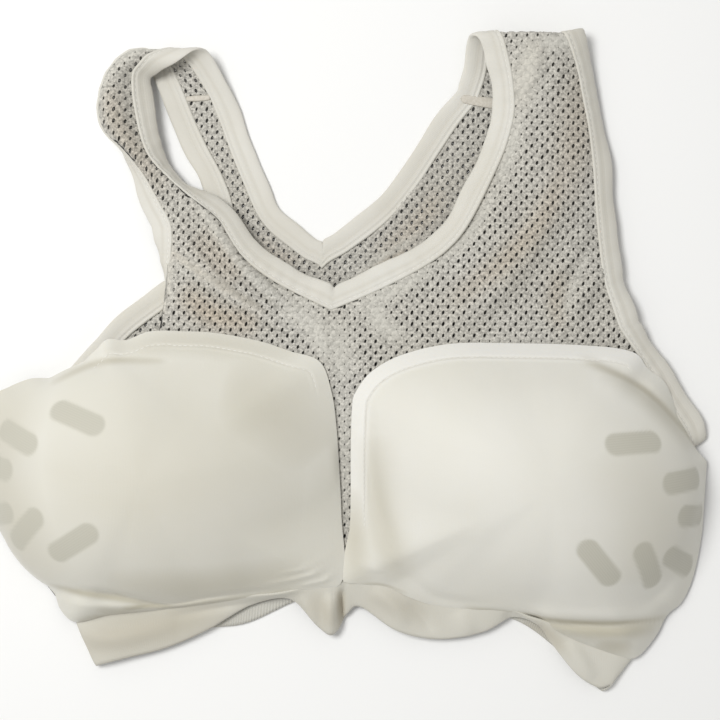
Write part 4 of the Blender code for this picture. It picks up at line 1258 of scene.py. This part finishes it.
TAPE_WIDTH = 0.0125
TAPE_WALL = 0.0022
TAPE_STEP = 0.0022
WAVE_ASIDE = 0.0005
WAVE_UP = 0.0007
PUCKER = 0.00016
DRAWN_IN = 0.0036
DRAWN_UNDER = 0.0012
BACK_GAP = 0.0006

# Seam of each armhole below the first front section, down to the underarm, where it turns to the
# back: x, y, z, then in degrees the bearing in which the tape leaves the seam, its dip, its curl
ARMHOLE_FOOT = {
    "left": (
        (-0.2585, 0.064, 0.49, 180, 0, 170),
        (-0.264, 0.037, 0.43, 172, 15, 140),
        (-0.280, 0.016, 0.34, 150, 25, 80),
        (-0.304, -0.002, 0.24, 135, 5, 10),
        (-0.337, -0.013, 0.19, 122, 0, 0),
        (-0.381, -0.047, 0.19, 112, 0, 0),
        (-0.449, -0.070, 0.18, 105, 0, 0),
        (-0.484, -0.085, 0.16, 100, 0, 0),
        (-0.491, -0.092, 0.12, 100, 0, 0),
    ),
    "right": (
        (0.390, 0.022, 0.53, 33, 20, 10),
        (0.410, -0.010, 0.50, 33, 22, 8),
        (0.431, -0.047, 0.45, 35, 20, 5),
        (0.448, -0.076, 0.40, 37, 18, 0),
        (0.465, -0.104, 0.33, 40, 12, 0),
        (0.474, -0.126, 0.23, 48, 0, 0),
        (0.474, -0.138, 0.14, 50, 0, 0),
    ),
}

# Across the tape, from the net to its fold: share of the width and of half the wall
TAPE_PROFILE = (
    (-0.02, 0.35),
    (0.00, 0.80),
    (0.05, 1.05),
    (0.11, 0.90),
    (0.15, 0.62),
    (0.20, 0.95),
    (0.30, 1.02),
    (0.42, 0.72),
    (0.54, 0.98),
    (0.74, 1.08),
    (0.89, 0.98),
    (0.97, 0.66),
    (1.00, 0.25),
)


def seam_frames(grid, edge, inner, turn):
    """Seam points, the directions in which the tape leaves them, and the outer face's normals."""
    seam = grid[:, edge]
    along = unit(np.gradient(seam, axis=0))
    out = seam - grid[:, inner]
    out = unit(out - along * (out * along).sum(axis=1, keepdims=True))
    return np.hstack([seam, out, turn * np.cross(along, out)])


def armhole_foot(side):
    """Seam frames of an armhole's lower part, with the tape's curl."""
    rows = spline(ARMHOLE_FOOT[side], FINE)
    bearing, dip, curl = np.radians(rows[:, 3:6]).T
    flat = np.column_stack([np.cos(bearing), np.sin(bearing)])
    out = np.column_stack([flat * np.cos(dip)[:, None], -np.sin(dip)])
    normal = np.column_stack([flat * np.sin(dip)[:, None], np.cos(dip)])
    return np.hstack([placed(rows), out, normal, curl[:, None]])


def settled(frames):
    """A closed run of seam frames at even steps, its turns eased where they are too sharp."""
    closed = np.vstack([frames, frames[:1]])
    lengths = np.linalg.norm(np.diff(closed[:, :3], axis=0), axis=1)
    frames = even(closed, int(lengths.sum() / TAPE_STEP))[:-1]
    for turn in range(90):
        ahead, behind = np.roll(frames, -1, axis=0), np.roll(frames, 1, axis=0)
        bend = np.linalg.norm(ahead[:, 3:6] - behind[:, 3:6], axis=1) / (2 * TAPE_STEP) * TAPE_WIDTH
        ease = np.clip(1.6 * bend - 0.5, 0.0, 1.0)[:, None]
        if turn < 4:
            ease = np.ones_like(ease)
        frames[:, 3:] += ease * ((ahead[:, 3:] + behind[:, 3:]) / 4 - frames[:, 3:] / 2)
        frames[:, 3:6], frames[:, 6:9] = unit(frames[:, 3:6]), unit(frames[:, 6:9])
    return frames


tape_seams = []


def tape_loop(name, frames, node):
    """A closed loop of folded tape along a seam, gently waved and puckered by its stitches. Where
    it curls right under, it is drawn in below the net."""
    frames = settled(frames)
    seam, out, normal = frames[:, 0:3], frames[:, 3:6], frames[:, 6:9]
    curl = np.maximum(frames[:, 9:10], math.radians(1.0))
    hidden = np.clip((np.degrees(curl) - 95) / 50, 0.0, 1.0)
    seam = seam - hidden * (out * DRAWN_IN + normal * DRAWN_UNDER)
    radius = TAPE_WIDTH / curl
    lowest = np.minimum(seam[:, 2], NET_WALL + TAPE_WALL / 2 + BACK_GAP)
    lowest = np.maximum(lowest, TAPE_WALL / 2)
    run = np.arange(len(frames)) * TAPE_STEP
    slow = np.sin(run * 2 * math.pi / 0.037 + 2.0 * np.sin(run * 23)) * np.sin(run * 41 + 1.0)
    pucker = np.sin(run * 2 * math.pi / 0.0088 + 1.5 * np.sin(run * 31)) * (1 + np.sin(run * 57))
    profile = [(s, h, 1) for s, h in TAPE_PROFILE] + [(s, h, -1) for s, h in TAPE_PROFILE[::-1]]
    rings = []
    for share, high, face in profile:
        angle = curl * share
        middle = seam + out * radius * np.sin(angle) - normal * radius * (1 - np.cos(angle))
        middle = middle + out * (WAVE_ASIDE * slow * share)[:, None]
        middle = middle + normal * (WAVE_UP * slow * share**2)[:, None]
        middle[:, 2] = np.maximum(middle[:, 2], lowest)
        facing = normal * np.cos(angle) + out * np.sin(angle)
        swell = high * TAPE_WALL / 2 + PUCKER * pucker * (1 - abs(2 * share - 0.5)) * (face > 0)
        rings.append(middle + facing * face * swell[:, None])
    grid = np.stack(rings, axis=1)
    tape_seams.append(grid[:, 4][hidden[:, 0] < 0.1])
    places = {
        "across": np.tile([share for share, _, _ in profile], len(frames)),
        "along": np.repeat(run, len(profile)),
    }
    piece = ring_mesh(name, grid, closed_rows=True, values=places)
    piece.data.materials.append(tape_cloth)
    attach(piece, "root")
    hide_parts(node)


def tape_jersey():
    """Folded jersey tape: fine cross ribs, a soft sheen, and faint painted shade in the valley along
    its crease.
    """
    material, t, cloth = shader("tape_jersey", (0.78, 0.765, 0.70), 0.6, sheen=0.2, subsurface=0.08)
    along, across = t.read("along"), t.read("across")
    spot = t.spot()
    broad = t.noise(spot, 22.0, 3.0)
    tone = t.mix(broad, (0.575, 0.545, 0.465, 1), (0.72, 0.71, 0.665, 1))
    # Painted shade in the shallow valley along the tape
    aside = t.maths("ABSOLUTE", t.maths("SUBTRACT", across, 0.43))
    crease = t.ranged(aside, 0.0, 0.14, 0.35, 0.0)
    tone = t.mix(t.times(crease, broad), tone, (0.47, 0.43, 0.34, 1))
    rib = t.maths("SINE", t.times(along, 2 * math.pi / 0.0009))
    line = t.maths("SINE", t.times(across, 2 * math.pi * 9))
    height = t.plus(t.times(line, 0.2), t.noise(spot, 1200.0, 2.0))
    t.surface(cloth, tone, t.plus(t.times(rib, 0.3), height), 0.3, 0.00015)
    return material


tape_cloth = tape_jersey()
fronts = {side: front_half(side) for side in ("left", "right")}
backs = {side: back_half(side) for side in ("left", "right")}

neck_halves = []
for side, turn in (("left", -1), ("right", 1)):
    front, curls = fronts[side]
    back = backs[side][1 : BACK_NECK_FOOT * FINE + 1]
    seams = seam_frames(np.concatenate([front[:, -2:], back[:, -2:]]), 1, 0, turn)
    curl = np.concatenate([curls[:, 1], np.zeros(len(back))])
    neck_halves.append(np.column_stack([seams, curl]))
tape_loop("neck_tape", np.vstack([neck_halves[0], neck_halves[1][-2:0:-1]]), "neck_binding")

for side, turn in (("left", 1), ("right", -1)):
    front, curls = fronts[side]
    back = backs[side][1:]
    seams = seam_frames(np.concatenate([front[:, :2], back[:, :2]]), 0, 1, turn)
    curl = np.concatenate([curls[:, 0], np.zeros(len(back))])
    arm = np.vstack([np.column_stack([seams, curl]), armhole_foot(side)[::-1]])
    tape_loop("arm_tape_" + side, arm, "arm_binding_" + side)


def seam_cloth():
    """The same jersey, darker grey and tan where it is doubled over."""
    material, t, cloth = shader("seam_jersey", (0.54, 0.49, 0.42), 0.8, sheen=0.1)
    fine = t.noise(t.spot(), 700.0, 3.0)
    tone = t.mix(fine, (0.50, 0.455, 0.38, 1), (0.72, 0.69, 0.62, 1))
    t.surface(cloth, tone, fine, 0.6, 0.0004)
    return material


seam_jersey = seam_cloth()
SEAM_HALF_HEIGHT = 0.0008
SEAM_RAISE = 0.0007


def shoulder_seam(side, beyond, half_width):
    """The doubled allowance of the seam where the front net meets the back net. It can run on over
    the neck tape by a length of its own."""
    line = fronts[side][0][-1][:: PANEL_COLUMNS // 2]
    tail = line[2] + unit(line[2] - line[1]) * beyond + UP * (TAPE_WALL / 2 if beyond else 0.0)
    line = even(spline(np.vstack([line, [tail]]) if beyond else line, 12), PANEL_COLUMNS)
    along = unit(np.gradient(line, axis=0))
    lift = unit(UP - along * along[:, 2:3])
    athwart = np.cross(along, lift)
    ends = np.sin(np.linspace(0.0, math.pi, len(line)))[:, None] ** 0.14
    rings = []
    for turn in np.linspace(0.0, 2 * math.pi, 16, endpoint=False):
        wide, high = half_width * math.cos(turn), SEAM_HALF_HEIGHT * math.sin(turn)
        rings.append(line + (athwart * wide + lift * high) * ends + lift * SEAM_RAISE)
    piece = ring_mesh("shoulder_seam_" + side, np.stack(rings, axis=1))
    piece.data.materials.append(seam_jersey)
    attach(piece, "root")


shoulder_seam("left", beyond=0.0, half_width=0.0016)
shoulder_seam("right", beyond=0.0095, half_width=0.0030)


# Underband. A ring of wide elastic faced with the same jersey, sewn to the covers in front and to
# the back panel behind. Let go, it draws in, so its front half lies in waves over its back half.

BAND_WALL = 0.0018
BAND_LAP = 0.0030
BAND_SINK = 0.0008
BAND_STEPS = 14

# Clockwise from the left fold: seam edge and free edge, each x, y, z as shares
BAND_WAVES = (
    (-0.381, -0.394, 0.18, -0.354, -0.462, 0.17),
    (-0.370, -0.394, 0.30, -0.340, -0.458, 0.30),
    (-0.332, -0.385, 0.38, -0.311, -0.450, 0.30),
    (-0.256, -0.375, 0.42, -0.256, -0.435, 0.25),
    (-0.199, -0.366, 0.47, -0.199, -0.408, 0.25),
    (-0.138, -0.357, 0.55, -0.138, -0.370, 0.25),
    (-0.083, -0.349, 0.60, -0.084, -0.360, 0.25),
    (-0.044, -0.343, 0.65, -0.044, -0.403, 0.28),
    (-0.019, -0.340, 0.62, -0.023, -0.414, 0.25),
    (-0.006, -0.336, 0.53, -0.004, -0.384, 0.20),
    (0.011, -0.334, 0.60, 0.015, -0.373, 0.25),
    (0.055, -0.345, 0.58, 0.066, -0.409, 0.30),
    (0.127, -0.370, 0.45, 0.124, -0.422, 0.25),
    (0.187, -0.376, 0.47, 0.185, -0.411, 0.25),
    (0.227, -0.379, 0.47, 0.227, -0.388, 0.25),
    (0.250, -0.388, 0.47, 0.263, -0.399, 0.25),
    (0.278, -0.402, 0.45, 0.281, -0.428, 0.25),
    (0.311, -0.420, 0.40, 0.314, -0.473, 0.25),
    (0.345, -0.435, 0.35, 0.345, -0.495, 0.25),
    (0.376, -0.449, 0.28, 0.362, -0.492, 0.23),
    (0.395, -0.446, 0.15, 0.354, -0.501, 0.15),
    (0.381, -0.426, 0.05, 0.343, -0.495, 0.05),
    (0.332, -0.390, 0.05, 0.298, -0.447, 0.05),
    (0.235, -0.337, 0.05, 0.227, -0.393, 0.05),
    (0.124, -0.309, 0.05, 0.124, -0.378, 0.05),
    (-0.014, -0.292, 0.05, -0.014, -0.360, 0.05),
    (-0.069, -0.303, 0.05, -0.069, -0.363, 0.05),
    (-0.138, -0.322, 0.05, -0.145, -0.399, 0.05),
    (-0.207, -0.342, 0.05, -0.203, -0.408, 0.05),
    (-0.290, -0.363, 0.05, -0.276, -0.431, 0.05),
    (-0.365, -0.388, 0.05, -0.340, -0.444, 0.05),
)
BAND_FRONT_STATIONS = 21

# Pleats and waves of its front half: x and y of three points as shares, half width and height in
# millimetres
BAND_FOLDS = (
    (-0.026, -0.350, -0.027, -0.380, -0.026, -0.420, 3.4, 3.6),
    (-0.012, -0.345, -0.012, -0.372, -0.010, -0.402, 1.8, -3.4),
    (-0.385, -0.408, -0.330, -0.420, -0.240, -0.400, 5.0, 2.4),
    (-0.250, -0.386, -0.180, -0.372, -0.110, -0.358, 2.6, -1.6),
    (-0.070, -0.352, -0.056, -0.376, -0.050, -0.396, 3.4, 1.8),
    (0.030, -0.346, 0.058, -0.366, 0.080, -0.398, 4.0, 2.4),
    (0.080, -0.362, 0.100, -0.386, 0.116, -0.412, 3.0, -1.6),
    (0.150, -0.378, 0.160, -0.398, 0.170, -0.414, 5.0, 1.6),
    (0.214, -0.378, 0.222, -0.386, 0.226, -0.392, 3.0, -1.4),
    (0.262, -0.398, 0.274, -0.420, 0.290, -0.450, 2.4, -2.2),
    (0.300, -0.424, 0.320, -0.452, 0.338, -0.482, 4.0, 2.2),
)


def band_jersey():
    """Jersey over elastic, smooth outside, with close ribs of elastic on its inside."""
    material, t, cloth = shader("band_jersey", (0.76, 0.745, 0.68), 0.6, sheen=0.2, subsurface=0.08)
    spot = t.spot()
    inner = t.read("inner")
    tone = t.mix(t.noise(spot, 16.0, 3.0), (0.555, 0.535, 0.455, 1), (0.675, 0.66, 0.60, 1))
    tone = t.mix(t.times(inner, 0.8), tone, (0.56, 0.55, 0.50, 1))
    # Painted shade in the band's pleats and folds
    tone = t.mix(t.read("shade"), tone, (0.66, 0.60, 0.50, 1), "MULTIPLY")
    rib = t.maths("SINE", t.times(t.read("run"), 2 * math.pi / 0.0016))
    ribs = t.times(rib, t.plus(0.15, t.times(inner, 1.6)))
    t.surface(cloth, tone, t.plus(t.noise(spot, 1100.0, 2.0), ribs), 0.35, 0.0002)
    return material


def band_sheet():
    """The middle of the band's wall, from its lap above the seam down to its free edge."""
    rows = loop(BAND_WAVES, BAND_STEPS)
    seam, free = placed(rows[:, 0:3]), placed(rows[:, 3:6])
    down = unit(free - seam)
    front = np.arange(len(rows)) < BAND_FRONT_STATIONS * BAND_STEPS
    top = seam - down * BAND_LAP * front[:, None] - UP * BAND_SINK * front[:, None]
    shares = np.linspace(0.0, 1.0, 15)
    sheet = np.stack([top * (1 - share) + free * share for share in shares], axis=1)
    sheet[front] = creased(sheet[front], BAND_FOLDS)
    sheet[..., 2] = np.maximum(sheet[..., 2], BAND_WALL / 2)
    return sheet


def band_rings(sheet):
    """Both faces of the band, and which points are on its inner face, and how far along it."""
    down = np.gradient(sheet, axis=1)
    along = np.roll(sheet, -1, axis=0) - np.roll(sheet, 1, axis=0)
    facing = unit(np.cross(down, along))
    count = sheet.shape[1]
    swell = BAND_WALL / 2 * (1 - abs(np.linspace(-1.0, 1.0, count)) ** 8 * 0.6)[None, :, None]
    grid = np.concatenate([sheet + facing * swell, (sheet - facing * swell)[:, ::-1]], axis=1)
    inner = np.tile([0.0] * count + [1.0] * count, len(sheet))
    steps = np.linalg.norm(along[:, 0], axis=1) / 2
    run = np.repeat(np.cumsum(steps), 2 * count)
    return grid, {"inner": inner, "run": run}


# Painted shade in its pleats and folds: x and y of three points as shares, half width in millimetres,
# strength
BAND_SHADES = (
    (-0.385, -0.430, -0.300, -0.410, -0.170, -0.380, 11.0, 0.45),
    (-0.060, -0.360, -0.035, -0.375, -0.030, -0.405, 7.0, 0.34),
    (-0.014, -0.345, -0.013, -0.372, -0.012, -0.405, 2.4, 0.75),
    (0.020, -0.350, 0.060, -0.365, 0.110, -0.385, 9.0, 0.28),
    (0.240, -0.400, 0.270, -0.410, 0.300, -0.440, 4.0, 0.45),
)
band_middle = band_sheet()
band_grid, band_values = band_rings(band_middle)
band_values["shade"] = near_lines(band_grid, BAND_SHADES)
band = ring_mesh("waved_underband", band_grid, closed_rows=True, values=band_values)
band.data.materials.append(band_jersey())
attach(band, "root")
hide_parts("underband")


# Stitches. White polyester thread: one row along each turned hem of the covers, and one along the
# seam of every tape. Each stitch is a short bead of thread sunk into the cloth.

THREAD = 0.00042
STITCH_LENGTH = 0.0021
STITCH_STEP = 0.0030
STITCH_RAISE = 0.00005


def one_stitch():
    """A rounded bead of thread that lies along X."""
    rows = []
    for share in (-1.0, -0.75, 0.0, 0.75, 1.0):
        radius = THREAD / 2 * max(1 - abs(share) ** 3, 0.15)
        for turn in np.linspace(0.0, 2 * math.pi, 6, endpoint=False):
            rows.append((share * STITCH_LENGTH / 2, radius * math.cos(turn), radius * math.sin(turn)))
    ends = [list(range(6))[::-1], list(range(24, 30))]
    mesh = bpy.data.meshes.new("stitch")
    mesh.from_pydata(rows, [], ends + quads(5, 6))
    return bpy.data.objects.new("stitch", mesh)


def sewing_tree():
    """Sets a stitch at even steps along every line of a piece."""
    wants = {"Step": "Float", "Stitch": "Object", "Thread": "Material"}
    t, given, keys = new_tree("sew", wants)
    lines = t.step("MeshToCurve", given["Piece"])
    marks = t.step("ResampleCurve", lines, {"Length": given["Step"]}, mode="LENGTH")
    way = {"Vector": t.add("GeometryNodeInputTangent").outputs[0]}
    turn = t.add("FunctionNodeAlignRotationToVector", way, axis="X").outputs[0]
    bead = t.add("GeometryNodeObjectInfo", {"Object": given["Stitch"]}).outputs["Geometry"]
    row = t.step("InstanceOnPoints", marks, {"Instance": bead, "Rotation": turn})
    t.end(t.step("RealizeInstances", row), given["Thread"])
    return t.tree, keys


sew, sew_sockets = sewing_tree()
thread_look, _, _ = shader("thread", (0.80, 0.79, 0.74), 0.5)
stitch_bead = one_stitch()


def stitched(name, lines):
    """Rows of stitches along these lines, as one piece."""
    points, edges = [], []
    for line in lines:
        start = len(points)
        points.extend(line)
        edges.extend((start + i, start + i + 1) for i in range(len(line) - 1))
    mesh = bpy.data.meshes.new(name)
    mesh.from_pydata(points, edges, [])
    rough = put_in(name, mesh)
    needle = rough.modifiers.new("needle", "NODES")
    needle.node_group = sew
    for key, value in (("Step", STITCH_STEP), ("Stitch", stitch_bead), ("Thread", thread_look)):
        needle[sew_sockets[key]] = value
    piece = made_plain(rough, name)


for side, line in hem_seams.items():
    stitched("hem_stitches_" + side, [line + UP * STITCH_RAISE])
stitched("tape_stitches", tape_seams)


# Stage. A pale floor, a pale world light all round, one broad soft light above on the left, and a
# camera straight above the guard, at the height from which the photograph was taken.

FLOOR_LEVEL = -0.0004
corners = [(x, y, FLOOR_LEVEL) for x, y in ((-3, -3), (3, -3), (3, 3), (-3, 3))]
floor_mesh = bpy.data.meshes.new("floor")
floor_mesh.from_pydata(corners, [], [(0, 1, 2, 3)])
floor = put_in("floor", floor_mesh)
paper, _, _ = shader("floor_paper", (0.90, 0.90, 0.89), 0.9)
floor_mesh.materials.append(paper)

world = bpy.data.worlds.new("room")
world.use_nodes = True
world.node_tree.nodes["Background"].inputs["Color"].default_value = (1.0, 0.995, 0.98, 1.0)
world.node_tree.nodes["Background"].inputs["Strength"].default_value = 0.50
bpy.context.scene.world = world

window = bpy.data.lights.new("window", "AREA")
window.shape = "DISK"
window.size = 0.6
window.energy = 13.0
light = put_in("window", window)
light.location = (-0.55, 0.30, 1.25)
light.rotation_mode = "QUATERNION"
light.rotation_quaternion = (-light.location).to_track_quat("-Z", "Y")
bpy.context.scene.view_settings.view_transform = "Standard"

CAMERA_HEIGHT = 0.9
VIEW_SIZE = 0.396
VIEW_LEVEL = 0.012
VIEW_MIDDLE = (0.0055, 0.0003)
lens = bpy.data.cameras.new("camera")
lens.sensor_width = 36.0
lens.lens = lens.sensor_width * (CAMERA_HEIGHT - VIEW_LEVEL) / VIEW_SIZE
camera = put_in("camera", lens)
camera.location = (*VIEW_MIDDLE, CAMERA_HEIGHT)
bpy.context.scene.camera = camera
